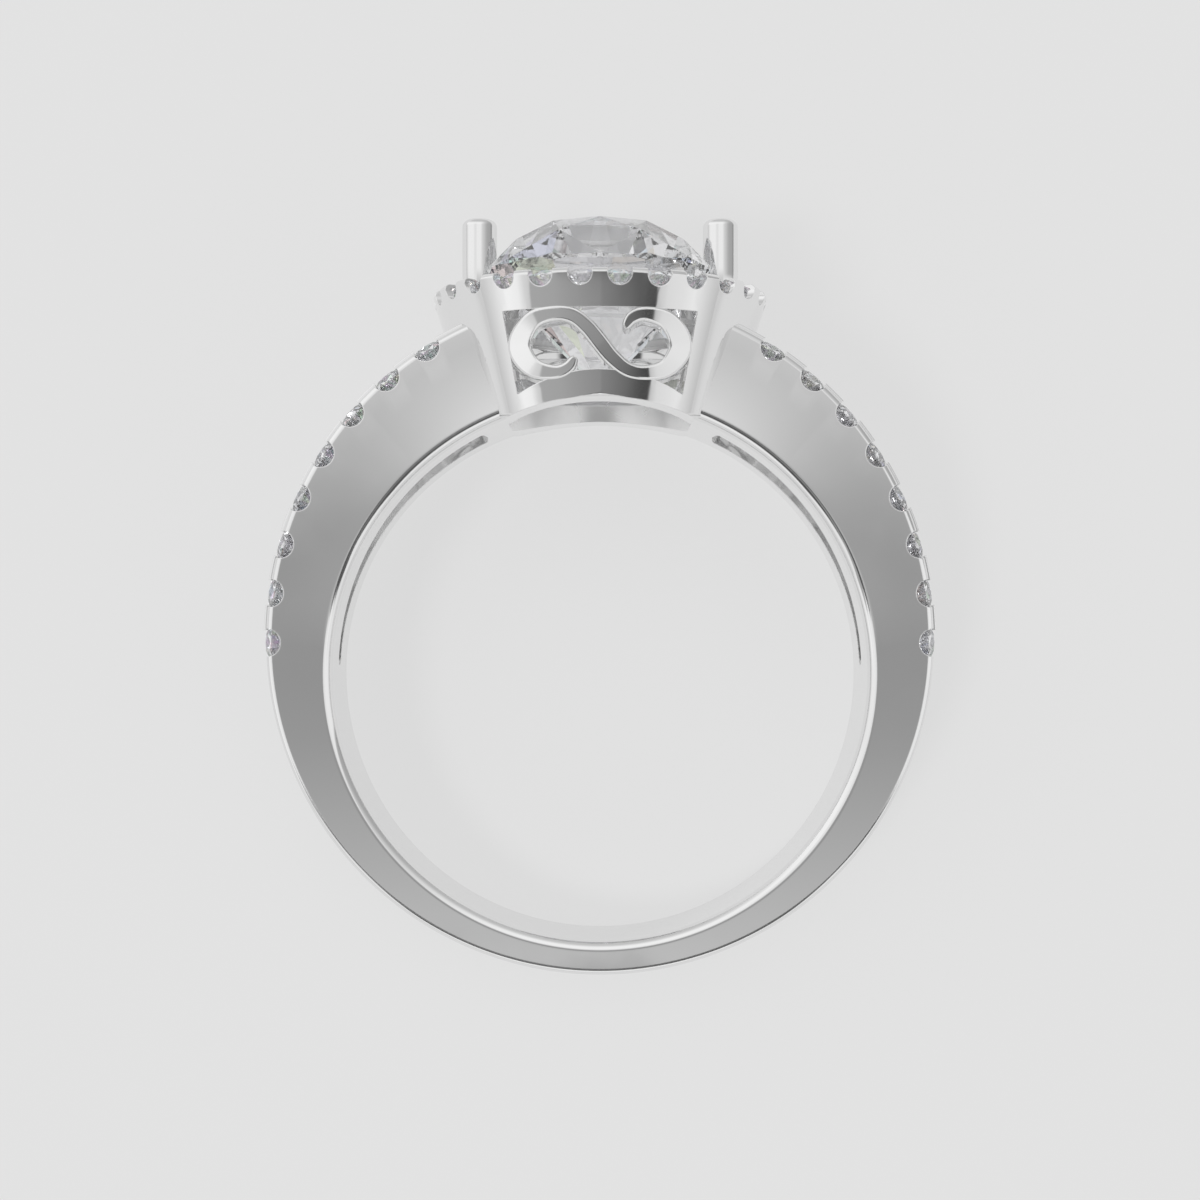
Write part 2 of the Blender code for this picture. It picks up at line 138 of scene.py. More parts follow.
def pick(made: Piece, kind: str, test: Callable[..., bool]) -> None:
    """Opens an object in edit mode with the parts that pass a test selected.

    Args:
        made: the object.
        kind: VERT, EDGE or FACE.
        test: takes a vertex's place, the places of an edge's two ends, or a face.
    """
    edit_all(made)
    bpy.ops.mesh.select_mode(type=kind)
    bpy.ops.mesh.select_all(action="DESELECT")
    leave_edit()
    mesh = made.data
    for part in {"VERT": mesh.vertices, "EDGE": mesh.edges, "FACE": mesh.polygons}[kind]:
        if kind == "EDGE":
            part.select = test(*(mesh.vertices[v].co for v in part.vertices))
        else:
            part.select = test(part.co if kind == "VERT" else part)
    bpy.ops.object.mode_set(mode="EDIT")


def move_vertices(made: Piece, place: Callable[[Vector], Vector]) -> None:
    """Gives every vertex the place that a function finds for it."""
    for vertex in made.data.vertices:
        vertex.co = place(vertex.co.copy())
    made.data.update()


def named(made: Piece, name: str) -> Piece:
    """Gives an object and its mesh one name, and returns the object."""
    made.name = made.data.name = name
    return made


def apply_place(made: Piece) -> None:
    """Puts an object's place, turn and scale into its mesh."""
    take(made)
    bpy.ops.object.transform_apply(location=True, rotation=True, scale=True)


def face_outwards(made: Piece) -> None:
    """Merges doubled vertices and turns every face outwards."""
    edit_all(made)
    bpy.ops.mesh.remove_doubles(threshold=NEAR)
    bpy.ops.mesh.normals_make_consistent(inside=False)
    leave_edit()


def use_modifier(made: Piece, kind: str, **settings: object) -> None:
    """Adds a modifier and applies it.

    Args:
        made: the object.
        kind: the modifier's type.
        settings: its properties.
    """
    modifier = made.modifiers.new(kind.title(), kind)
    for name, value in settings.items():
        setattr(modifier, name, value)
    take(made)
    bpy.ops.object.modifier_apply(modifier=modifier.name)


def cut(made: Piece, cutter: Piece) -> None:
    """Cuts one object out of another and removes the cutter."""
    use_modifier(made, "BOOLEAN", operation="DIFFERENCE", solver="EXACT", object=cutter)
    bpy.data.objects.remove(cutter)


def copy_to(made: Piece, place: Matrix, name: str) -> Piece:
    """A copy of a piece with its own mesh, moved by a matrix.

    Args:
        made: the piece that is copied.
        place: where the copy goes.
        name: the copy's name.

    Returns:
        The copy.
    """
    copy = made.copy()
    copy.data = made.data.copy()
    copy.data.transform(place)
    if place.determinant() < 0:
        copy.data.flip_normals()
    bpy.context.scene.collection.objects.link(copy)
    return named(copy, name)


def join(pieces: Iterable[Piece], name: str) -> Piece:
    """Joins pieces into one object.

    Args:
        pieces: the pieces.
        name: the joined object's name.

    Returns:
        The joined object.
    """
    pieces = list(pieces)
    take(pieces[0])
    for piece in pieces:
        piece.select_set(True)
    bpy.ops.object.join()
    return named(pieces[0], name)


def repeat(made: Piece, places: Iterable[Matrix], name: str, keep: bool = False) -> Piece:
    """One object of copies at each place.

    Args:
        made: the piece that is copied.
        places: where the copies go.
        name: the joined object's name.
        keep: whether the piece itself stays as well.

    Returns:
        The joined object.
    """
    copies = [copy_to(made, place, f"{name}_{i}") for i, place in enumerate(places)]
    if not keep:
        bpy.data.objects.remove(made)
    return join(copies, name)


def finish_metal(made: Piece, sharp_angle: float = math.radians(32)) -> None:
    """Smooths a metal piece so that its flat faces stay flat in the reflection.

    Args:
        made: the piece.
        sharp_angle: from how large an angle an edge stays sharp.
    """
    face_outwards(made)
    take(made)
    bpy.ops.object.shade_smooth_by_angle(angle=sharp_angle)
    # The modifier's threshold is an area, so it reads the piece with a millimetre as its unit
    made.data.transform(Matrix.Scale(1 / MM, 4))
    use_modifier(made, "WEIGHTED_NORMAL", mode="FACE_AREA", weight=100, thresh=0.002, keep_sharp=True)
    made.data.transform(Matrix.Scale(MM, 4))


# Outlines


def cushion_outline(power: float, count: int, offset: float = 0.0) -> list[Vector]:
    """Points at equal steps round a cushion outline of half-width 1, counter-clockwise.

    Args:
        power: 2 for a circle, more for a squarer outline.
        count: how many points.
        offset: how many steps past the middle of the front the first one lies.

    Returns:
        The points, in the plane.
    """
    fine = 40 * count  # steps short enough to measure the outline's length by
    points = []
    for i in range(fine + 1):
        angle = 2 * math.pi * i / fine - math.pi / 2
        x, y = math.cos(angle), math.sin(angle)
        points.append(Vector((x, y)) / (abs(x) ** power + abs(y) ** power) ** (1 / power))
    lengths = [0.0]
    for before, after in zip(points, points[1:]):
        lengths.append(lengths[-1] + (after - before).length)
    outline, at = [], 0
    for i in range(count):
        wanted = lengths[-1] * (i + offset) / count
        while lengths[at + 1] < wanted:
            at += 1
        share = (wanted - lengths[at]) / (lengths[at + 1] - lengths[at])
        outline.append(points[at].lerp(points[at + 1], share))
    return outline


def circle_of(outline: list[Vector], scale: float, z: float) -> Piece:
    """A filled circle primitive, pushed to an outline.

    Args:
        outline: the outline's points.
        scale: its half-width.
        z: its height.

    Returns:
        The flat piece.
    """
    deselect_all()
    bpy.ops.mesh.primitive_circle_add(vertices=len(outline), radius=scale, fill_type="NGON")
    made = bpy.context.object
    for vertex, point in zip(made.data.vertices, outline):
        vertex.co = (point.x * scale, point.y * scale, z)
    return made


def rounded_section(
    width: float, height: float, radii: tuple[float, float, float, float], segments: int = 6
) -> Piece:
    """A flat rectangle from a plane primitive, with each corner rounded on its own.

    Args:
        width: its size along x.
        height: its size along y.
        radii: the corners' radii, at (-,-), (+,-), (-,+) and (+,+). A sharp corner has 0.
        segments: how many segments a round corner has.

    Returns:
        The flat piece, centred on the origin.
    """
    deselect_all()
    bpy.ops.mesh.primitive_plane_add(size=1)
    made = bpy.context.object
    made.scale = (width, height, 1)
    apply_place(made)
    corners = [vertex.co.copy() for vertex in made.data.vertices]
    for corner, radius in zip(sorted(corners, key=lambda co: (co.y, co.x)), radii):
        if radius:
            pick(made, "VERT", lambda co: (co - corner).length < NEAR)
            bpy.ops.mesh.bevel(
                offset=radius, offset_type="OFFSET", segments=segments, profile=0.5, affect="VERTICES"
            )
            leave_edit()
    return made


@dataclass(frozen=True)
class RingFrame:
    """Where the ring's own frame lies once the ring is laid on its side, as the solids are.

    Attributes:
        tilt: how far the finger's axis leans from upright.
        middle_y: the finger hole's middle, along the floor.
        middle_z: its height.
    """

    tilt: float = math.radians(10.552448)
    middle_y: float = -2.5115 * MM
    middle_z: float = 3.16039 * MM

    def matrix(self) -> Matrix:
        """From the ring's own frame to the frame of the solids."""
        turn = Matrix.Rotation(self.tilt - math.pi / 2, 4, "X")
        turn.translation = Vector((0, self.middle_y, self.middle_z))
        return turn

    def lay_down(self, made: Piece) -> None:
        """Moves a finished piece's mesh from the ring's own frame to where the solids lie."""
        made.data.transform(self.matrix())
        made.data.update()


# Finishes


def linear(hex_colour: str) -> tuple[float, float, float, float]:
    """An sRGB hex colour as linear values with alpha 1."""
    values = []
    for at in (1, 3, 5):
        value = int(hex_colour[at : at + 2], 16) / 255
        values.append(value / 12.92 if value <= 0.04045 else ((value + 0.055) / 1.055) ** 2.4)
    return values[0], values[1], values[2], 1.0


def add_node(
    tree: Tree, kind: str, inputs: dict[str | int, object] | None = None, **settings: object
) -> bpy.types.Node:
    """Adds a node with its settings, and links or values for its inputs.

    Args:
        tree: the node tree.
        kind: the node's type.
        inputs: for each input's name or number, a value or the output that feeds it.
        settings: the node's properties.

    Returns:
        The node.
    """
    node = tree.nodes.new(kind)
    for name, value in settings.items():
        setattr(node, name, value)
    for key, value in (inputs or {}).items():
        if isinstance(value, Socket):
            tree.links.new(value, node.inputs[key])
        else:
            node.inputs[key].default_value = value
    return node


def new_material(name: str, values: dict[str, object]) -> tuple[Material, bpy.types.Node]:
    """A new material.

    Args:
        name: its name.
        values: what is the same all over it, for each input of its shader.

    Returns:
        The material, and its shader.
    """
    material = bpy.data.materials.new(name)
    material.use_nodes = True
    shader = material.node_tree.nodes["Principled BSDF"]
    for key, value in values.items():
        shader.inputs[key].default_value = value
    return material, shader


def carry(
    tree: Tree,
    value: Socket,
    source: tuple[float, float] = (0.0, 1.0),
    target: tuple[float, float] = (0.0, 1.0),
    kind: str = "LINEAR",
) -> Socket:
    """A value carried from one range to another, and held within it.

    Args:
        tree: the node tree.
        value: the value.
        source: the range that it has.
        target: the range that it gets.
        kind: LINEAR or SMOOTHSTEP.

    Returns:
        The new value.
    """
    ends = {"From Min": source[0], "From Max": source[1], "To Min": target[0], "To Max": target[1]}
    node = add_node(tree, "ShaderNodeMapRange", {"Value": value, **ends}, interpolation_type=kind)
    return node.outputs["Result"]


def noise(tree: Tree, size: float, detail: float = 2.0) -> Socket:
    """Noise in a piece's own space, with grains of about the given size."""
    place = add_node(tree, "ShaderNodeTexCoord").outputs["Object"]
    inputs = {"Vector": place, "Scale": 1 / size, "Detail": detail}
    return add_node(tree, "ShaderNodeTexNoise", inputs).outputs["Fac"]


@dataclass(frozen=True)
class PolishedWhiteGold:
    """14 carat white gold, rhodium plated and mirror polished: a cool white mirror with faint wheel marks.

    Attributes:
        colour: what it reflects.
        polish: roughness where it is brightest.
        haze: roughness where the polish is a little duller.
        cloud_mm: how large the bright and the duller places are.
        wheel_mark_mm: spacing of the finest wheel marks, coarser than real ones (about 0.01 mm), to show.
        edge_mm: how far an edge is rounded by the polish.
    """

    name: str = "polished_white_gold"
    colour: str = "#F0F0F0"
    polish: float = 0.035
    haze: float = 0.085
    cloud_mm: float = 2.5
    wheel_mark_mm: float = 0.06
    edge_mm: float = 0.045

    def make(self) -> Material:
        """The material."""
        material, shader = new_material(self.name, {"Base Color": linear(self.colour), "Metallic": 1.0})
        tree = material.node_tree
        cloud = noise(tree, self.cloud_mm * MM, 3.0)
        tree.links.new(carry(tree, cloud, (0.35, 0.7), (self.polish, self.haze)), shader.inputs["Roughness"])
        edge = add_node(tree, "ShaderNodeBevel", {"Radius": self.edge_mm * MM}, samples=6).outputs["Normal"]
        marks = noise(tree, self.wheel_mark_mm * MM)
        relief = {"Height": marks, "Strength": 0.02, "Distance": 0.002 * MM, "Normal": edge}
        bump = add_node(tree, "ShaderNodeBump", relief)
        tree.links.new(bump.outputs["Normal"], shader.inputs["Normal"])
        return material


@dataclass(frozen=True)
class SatinWhiteGold(PolishedWhiteGold):
    """The same white gold where no polishing wheel reaches, inside the head: an even satin."""

    name: str = "satin_white_gold"
    polish: float = 0.26
    haze: float = 0.34


@dataclass(frozen=True)
class CutDiamond:
    """Cut and polished diamond: clear, colourless, very strong refraction, with faint rainbow flashes and
    darker facets painted into its colour, facet by facet.

    Attributes:
        colour: its body colour.
        ior: its index of refraction.
        painted_fire: how strongly a painted hue, by a facet's direction, tints the light.
        painted_fire_chance: the random values between which a facet goes from clear to tinted by the painted
            hue.
        painted_dimmest: the painted shade of the darkest facet, as the share of the light that it lets
            through.
    """

    name: str = "cut_diamond"
    colour: str = "#FDFDFF"
    ior: float = 2.417
    painted_fire: float = 0.30
    painted_fire_chance: tuple[float, float] = (0.86, 0.88)
    painted_dimmest: float = 0.70

    def make(self) -> Material:
        """The material."""
        values = {"Roughness": 0.0, "IOR": self.ior, "Transmission Weight": 1.0}
        material, shader = new_material(self.name, values)
        tree = material.node_tree
        # Painted rainbow flashes and painted facet shade: one random hue and one random share for each facet,
        # by the direction that it faces
        facing = add_node(tree, "ShaderNodeNewGeometry").outputs["True Normal"]
        facet = add_node(tree, "ShaderNodeVectorMath", {0: facing, 1: (0.03, 0.03, 0.03)}, operation="SNAP")
        vector = {"Vector": facet.outputs["Vector"]}
        chance = add_node(tree, "ShaderNodeTexWhiteNoise", vector, noise_dimensions="3D")
        hue = add_node(tree, "ShaderNodeSeparateColor", {"Color": chance.outputs["Color"]})
        tinted = {
            "Red": hue.outputs["Green"],
            "Green": carry(tree, chance.outputs["Value"], self.painted_fire_chance, (0.0, self.painted_fire)),
            "Blue": carry(tree, hue.outputs["Blue"], target=(self.painted_dimmest, 1.0)),
        }
        painted_fire = add_node(tree, "ShaderNodeCombineColor", tinted, mode="HSV").outputs["Color"]
        colours = {"Factor": 1.0, 6: linear(self.colour), 7: painted_fire}
        tint = add_node(tree, "ShaderNodeMix", colours, data_type="RGBA", blend_type="MULTIPLY")
        # The painted hue and painted facet shade tint the light that goes through the stone
        tree.links.new(tint.outputs[2], shader.inputs["Base Color"])
        return material


@dataclass(frozen=True)
class SmallDiamond(CutDiamond):
    """The same diamond in stones about a millimetre across, with so little painted facet shade that its
    facets all look bright.
    """

    name: str = "small_cut_diamond"
    # Painted facet shade: the darkest facet keeps almost all the light
    painted_dimmest: float = 0.95


@dataclass(frozen=True)
class OpalFloor:
    """A sheet of opal acrylic that glows with painted emission, as if a light shone up through it: pale grey,
    even, almost shadowless, with a very faint tooth.

    Attributes:
        colour: its colour from above.
        painted_glow: how bright the painted emission is, in place of light from below.
        painted_lit_mm: how far from the ring the painted pool of light stays at full strength.
        painted_dim_mm: how far from the ring the painted emission is weakest.
        painted_dimmest: the share of the painted emission that is left there.
        tooth_mm: the size of the grains of its surface.
    """

    name: str = "opal_acrylic"
    colour: str = "#6C6C6C"
    painted_glow: float = 0.62
    painted_lit_mm: float = 30.0
    painted_dim_mm: float = 200.0
    painted_dimmest: float = 0.82
    tooth_mm: float = 0.6

    def make(self) -> Material:
        """The material."""
        # Painted emission: the floor itself glows, which washes out the ring's shadows on it
        values = {"Roughness": 0.9, "Specular IOR Level": 0.1, "Emission Strength": self.painted_glow}
        material, shader = new_material(self.name, {"Base Color": linear(self.colour), **values})
        tree = material.node_tree
        spot = add_node(tree, "ShaderNodeTexCoord").outputs["Object"]
        reach = add_node(tree, "ShaderNodeVectorMath", {0: spot}, operation="LENGTH").outputs["Value"]
        span = (self.painted_lit_mm * MM, self.painted_dim_mm * MM)
        # A painted pool of light: the emission is strongest near the ring and fades further out
        painted_pool = carry(tree, reach, span, (1.0, self.painted_dimmest), "SMOOTHSTEP")
        tree.links.new(painted_pool, shader.inputs["Emission Color"])
        relief = {"Height": noise(tree, self.tooth_mm * MM), "Strength": 0.05, "Distance": 0.01 * MM}
        bump = add_node(tree, "ShaderNodeBump", relief)
        tree.links.new(bump.outputs["Normal"], shader.inputs["Normal"])
        return material


# Stones


@dataclass(frozen=True)
class BrilliantCut:
    """A stone with a brilliant's 57 facets on a round or cushion outline, cut plane by plane.

    Heights are from the middle of the table, downwards negative, and lengths share one unit.

    Attributes:
        half: half of the outline's width.
        power: the outline's squareness, 2 for round.
        table: the table's radius to its corners.
        crown: the crown's height.
        girdle: the girdle's thickness.
        pavilion: the pavilion's depth.
        star: how far down the crown the star facets reach, as a share.
        lower_half: how far down the pavilion the lower girdle facets reach, as a share.
        steps: how many flats the girdle has.
    """

    half: float
    power: float
    table: float
    crown: float
    girdle: float
    pavilion: float
    star: float
    lower_half: float
    steps: int

    def rim(self, angle: float, z: float) -> Vector:
        """The outline's point at an angle and height."""
        x, y = math.cos(angle), math.sin(angle)
        reach = self.half / (abs(x) ** self.power + abs(y) ** self.power) ** (1 / self.power)
        return Vector((reach * x, reach * y, z))

    def main_plane(self, k: int, z: float, tip: Vector, inner: float) -> tuple[Vector, Vector]:
        """One of the eight main facets of the crown or of the pavilion.

        Args:
            k: its number, an eighth of a turn each.
            z: the height where it meets the girdle.
            tip: the table's middle or the culet.
            inner: how far from the axis it starts.

        Returns:
            A point of its plane, and its normal out of the stone.
        """
        angle = k * math.pi / 4
        way = Vector((math.cos(angle), math.sin(angle), 0))
        high = way * inner + tip
        normal = Vector((-way.y, way.x, 0)).cross(self.rim(angle, z) - high).normalized()
        return high, normal if normal.dot(way) > 0 else -normal

    def facets(self) -> Iterator[tuple[Vector, Vector]]:
        """Every sloping facet's plane, in the order of cutting.

        Yields:
            A point of the plane, and its normal out of the stone.
        """
        top, bottom = -self.crown, -self.crown - self.girdle
        culet = Vector((0, 0, bottom - self.pavilion))
        for z, tip, inner in ((top, Vector((0, 0, 0)), self.table), (bottom, culet, 0.0)):
            mains = [self.main_plane(k, z, tip, inner) for k in range(9)]
            yield from mains[:8]
            share = self.star if inner else 1 - self.lower_half
            level = tip.z + (z - tip.z) * share
            for k, ((high_a, normal_a), (high_b, normal_b)) in enumerate(zip(mains, mains[1:])):
                # Where the ridge between two mains passes the level
                across = normal_a.x * normal_b.y - normal_a.y * normal_b.x
                first = normal_a.dot(high_a) - normal_a.z * level
                second = normal_b.dot(high_b) - normal_b.z * level
                meet = Vector((
                    (first * normal_b.y - second * normal_a.y) / across,
                    (normal_a.x * second - normal_b.x * first) / across,
                    level,
                ))
                if inner:
                    yield meet, self.outward(high_a, high_b, meet)
                middle = self.rim((k + 0.5) * math.pi / 4, z)
                for corner in (k, k + 1):
                    yield meet, self.outward(self.rim(corner * math.pi / 4, z), middle, meet)

    @staticmethod
    def outward(a: Vector, b: Vector, c: Vector) -> Vector:
        """The normal of the plane through three points, away from the axis."""
        normal = (b - a).cross(c - a).normalized()
        middle = (a + b + c) / 3
        return normal if normal.x * middle.x + normal.y * middle.y > 0 else -normal

    def make(self, name: str) -> Piece:
        """Cuts the stone, with its table's middle at the origin.

        Each facet is one cut of a blank, on a stone of half-width 1, which is then brought to size.

        Args:
            name: the object's name.

        Returns:
            The stone.
        """
        unit, facet_angle = self.half, math.radians(0.3)
        blank = 1.02 * ((self.crown + self.girdle + self.pavilion) / unit)
        made = circle_of(cushion_outline(self.power, self.steps), 1.0, -blank)
        edit_all(made)
        extrude(0, 0, blank)
        for point, normal in self.facets():
            select_all()
            bpy.ops.mesh.bisect(plane_co=point / unit, plane_no=normal, clear_outer=True, threshold=1e-5)
            select_all()
            bpy.ops.mesh.convex_hull()
        select_all()
        bpy.ops.mesh.remove_doubles(threshold=2e-4)
        bpy.ops.mesh.convex_hull()
        select_all()
        bpy.ops.mesh.dissolve_limited(angle_limit=facet_angle)
        bpy.ops.mesh.normals_make_consistent(inside=False)
        leave_edit()
        made.data.transform(Matrix.Scale(unit, 4))
        for face in made.data.polygons:
            face.use_smooth = False
        return named(made, name)


@dataclass(frozen=True)
class CentreStone:
    """The square cushion-cut stone, standing above the halo."""

    table_z: float = 14.69 * MM
    cut: BrilliantCut = field(
        default_factory=lambda: BrilliantCut(
            half=3.71 * MM,
            power=2.7,
            table=2.11 * MM,
            crown=1.50 * MM,
            girdle=0.16 * MM,
            pavilion=3.58 * MM,
            star=0.37,
            lower_half=0.76,
            steps=24,
        )
    )

    def make(self, name: str = "centre_stone_cut") -> Piece:
        """The stone in its place."""
        made = self.cut.make(name)
        made.data.transform(Matrix.Translation((0, 0, self.table_z)))
        return made

    def pavilion_half(self, z: float) -> float:
        """Half of the stone's width at a height below its girdle."""
        culet = self.table_z - self.cut.crown - self.cut.girdle - self.cut.pavilion
        return self.cut.half * (z - culet) / self.cut.pavilion


@dataclass(frozen=True)
class SmallStones:
    """The round stones of the halo and of the arms, cut once and copied."""

    halo_radius: float = 0.50 * MM
    row_radius: float = 0.69 * MM

    def make(self, radius: float, name: str) -> Piece:
        """One round stone with its table's middle at the origin.

        Args:
            radius: its radius.
            name: the object's name.

        Returns:
            The stone.
        """
        cut_shape = BrilliantCut(
            half=radius,
            power=2.0,
            table=0.56 * radius,
            crown=0.31 * radius,
            girdle=0.06 * radius,
            pavilion=0.84 * radius,
            star=0.5,
            lower_half=0.5,
            steps=16,
        )
        return cut_shape.make(name)


# Metal


@dataclass(frozen=True)
class Shank:
    """The split shank: one band at the foot, four arms above, each with eight scalloped seats.

    Angles are turned from the foot of the ring. The outline's lower half is a circle about a middle above
    the finger hole's, and its upper half an ellipse.
    """

    hole: float = 8.65 * MM
    middle_z: float = 1.0 * MM
    radius: float = 10.77 * MM
    rise: float = 10.98 * MM
    foot_half_width: float = 1.42 * MM
    side_half_width: float = 1.83 * MM
    shoulder_half_width: float = 3.10 * MM
    spread_power: float = 1.46
    shoulder_turn: float = math.radians(156.7)
    end_turn: float = math.radians(160)
    outer_round: float = 0.22 * MM
    inner_round: float = 0.34 * MM
    slit_foot: float = math.radians(86.3)
    slit_top: float = math.radians(151.4)
    arm_width_foot: float = 1.56 * MM
    arm_width_top: float = 1.70 * MM
    steps: int = 320
    row_stones: int = 8
    row_first: float = math.radians(90.2)
    row_last: float = math.radians(149.1)
    row_rise: float = 0.06 * MM
    seat_radius: float = 0.715 * MM
    notch_width: float = 0.90 * MM
    notch_depth: float = 0.49 * MM
    bar_rise: float = 0.09 * MM
    plain_thickness: float = 2.0 * MM
    side: float = math.pi / 2  # where the outline's lower half ends

    def outline(self, turn: float) -> Vector:
        """The outer outline's point at a turn."""
        rise = self.radius if turn < self.side else self.rise
        return Vector((self.radius * math.sin(turn), 0, self.middle_z - rise * math.cos(turn)))

    def outward(self, turn: float) -> Vector:
        """The outline's outward direction at a turn."""
        rise = self.radius if turn < self.side else self.rise
        return Vector((math.sin(turn) / self.radius, 0, -math.cos(turn) / rise)).normalized()

    def reach(self, polar: float) -> tuple[float, float]:
        """The outline in polar form.

        Args:
            polar: the angle about the finger hole's middle, from the foot.

        Returns:
            The radius there, and the outline's turn.
        """
        x, z = math.sin(polar), -math.cos(polar)
        for rise in (self.radius, self.rise):
            a = (x / self.radius) ** 2 + (z / rise) ** 2
            b = -2 * z * self.middle_z / rise**2
            c = (self.middle_z / rise) ** 2 - 1
            radius = (-b + math.sqrt(b * b - 4 * a * c)) / (2 * a)
            turn = math.atan2(radius * x / self.radius, (self.middle_z - radius * z) / rise)
            if turn < self.side:
                break
        return radius, turn

    def half_width(self, turn: float, z: float) -> float:
        """Half of the band's width at a turn and height: flat faces, and above the side a spread as well."""
        slope = (self.side_half_width - self.foot_half_width) / self.radius
        plain = self.foot_half_width + slope * (z - self.middle_z + self.radius)
        if turn <= self.side:
            return plain
        share = (turn - self.side) / (self.shoulder_turn - self.side)
        shoulder_z = self.outline(self.shoulder_turn).z
        spread = self.shoulder_half_width - self.foot_half_width
        spread -= slope * (shoulder_z - self.middle_z + self.radius)
        return plain + spread * share**self.spread_power

    def arm_width(self, turn: float) -> float:
        """The width of one arm at a turn."""
        share = (turn - self.slit_foot) / (self.slit_top - self.slit_foot)
        return self.arm_width_foot + (self.arm_width_top - self.arm_width_foot) * share

    def half_gap(self, turn: float) -> float:
        """Half of the slit's width at a turn, with a round foot and a nearly square top."""
        if not self.slit_foot < turn < self.slit_top:
            return 0.0
        gap = self.half_width(turn, self.outline(turn).z) - self.arm_width(turn)
        foot_round = 0.24 * MM / self.radius
        top_round = 0.3 * foot_round
        for distance, bend in ((turn - self.slit_foot, foot_round), (self.slit_top - turn, top_round)):
            if distance < bend:
                gap *= math.sqrt(1 - (1 - distance / bend) ** 2)
        return gap

    def arm_middle(self, turn: float) -> float:
        """How far from the ring's middle plane an arm's middle runs."""
        return self.half_width(turn, self.outline(turn).z) - self.arm_width(turn) / 2

    def to_outline(self, co: Vector) -> Vector:
        """Where a vertex of the plain spun band goes on the real shank."""
        polar = math.atan2(co.x, -co.z)
        outer, turn = self.reach(polar)
        radius = math.hypot(co.x, co.z)
        low, high = self.hole + self.inner_round, self.hole + self.plain_thickness - self.outer_round
        if radius > high:
            radius += outer - self.hole - self.plain_thickness
        elif radius > low:
            radius = low + (radius - low) / (high - low) * (outer - self.outer_round - low)
        z = -radius * math.cos(polar)
        if abs(co.y) > self.foot_half_width / 2:
            y = -(self.half_width(turn, z) - (self.foot_half_width + co.y))
        else:
            y = -self.half_gap(turn)
        return Vector((radius * math.sin(polar), y, z))

    def make_quarter(self) -> Piece:
        """The front right quarter, closed, before its seats are cut.

        Returns:
            The quarter.
        """
        width = self.foot_half_width
        made = rounded_section(
            width, self.plain_thickness, (self.outer_round, 0.0, self.inner_round, 0.0), segments=8
        )
        # The section stands at the foot, with its lower edge outside and its round corners in front
        foot = Matrix.Translation((0, -width / 2, -self.hole - self.plain_thickness / 2))
        made.data.transform(foot @ TO_SECTION)
        edit_all(made)
        bpy.ops.mesh.delete(type="ONLY_FACE")
        leave_edit()
        front = -width + NEAR
        pick(made, "EDGE", lambda a, b: a.y < front and b.y < front and abs(a.z - b.z) > 1 * MM)
        bpy.ops.mesh.subdivide(number_cuts=4)
        select_all()
        bpy.ops.mesh.spin(steps=self.steps, angle=self.end_turn, center=(0, 0, 0), axis=(0, 1, 0))
        select_all()
        bpy.ops.mesh.remove_doubles(threshold=NEAR)
        bpy.ops.mesh.fill_holes(sides=0)
        leave_edit()
        move_vertices(made, self.to_outline)
        face_outwards(made)
        return made

    def seat_places(self) -> list[Matrix]:
        """Where the stones of the front right arm sit: x along the row, y to the back, z out of the metal."""
        places = []
        for i in range(self.row_stones):
            turn = self.row_first + (self.row_last - self.row_first) * i / (self.row_stones - 1)
            up = self.outward(turn)
            along = Vector((up.z, 0, -up.x))
            place = Matrix((along, Vector((0, 1, 0)), up)).transposed().to_4x4()
            place.translation = self.outline(turn) - Vector((0, self.arm_middle(turn), 0))
            places.append(place)
        return places

    def bend(self, bar: Piece, first: float, last: float, shift: Vector) -> None:
        """Bends a straight bar along the front right arm.

        Args:
            bar: the bar.
            first: the turn where it starts.
            last: the turn where it ends.
            shift: how far it stands off the arm's middle line before it is bent.
        """

        def place(co: Vector) -> Vector:
            turn = first + (last - first) * co.x
            level = Vector((0, co.y + shift.y - self.arm_middle(turn), 0))
            return self.outline(turn) + self.outward(turn) * (co.z + shift.z) + level

        move_vertices(bar, place)

    def make_bars(self) -> Piece:
        """The low bars that hold the stones of the front right arm, across the row between them.

        Returns:
            The bars, as one object.
        """
        step = (self.row_last - self.row_first) / (self.row_stones - 1)
        half = (step - self.notch_width / self.rise) / 2 + math.radians(0.25)
        middles = [self.row_first + step * (i + 0.5) for i in range(self.row_stones)]
        spans = [(middle - half, middle + half) for middle in middles]
        spans[-1] = (spans[-1][0], self.end_turn)
        inner_gap = 0.12 * MM
        bars = []
        for first, last in spans:
            middle = (first + last) / 2
            width = self.arm_width(middle) - self.outer_round - inner_gap
            bar = straight_bar(width, 2 * self.bar_rise, rounding=0.04 * MM, cuts=12)
            self.bend(bar, first, last, Vector((0, (self.outer_round - inner_gap) / 2, 0)))
            bars.append(bar)
        made = join(bars, "arm_bars")
        finish_metal(made)
        return made

    def make_trench(self) -> Piece:
        """The cutter of the channel that joins the seats of the front right arm."""
        half, depth, high = 0.30 * MM, 0.42 * MM, 0.5 * MM
        bar = straight_bar(2 * half, depth + high, rounding=0.0, cuts=self.steps // 4)
        self.bend(bar, self.row_first, self.row_last, Vector((0, 0, (high - depth) / 2)))
        face_outwards(bar)
        return bar

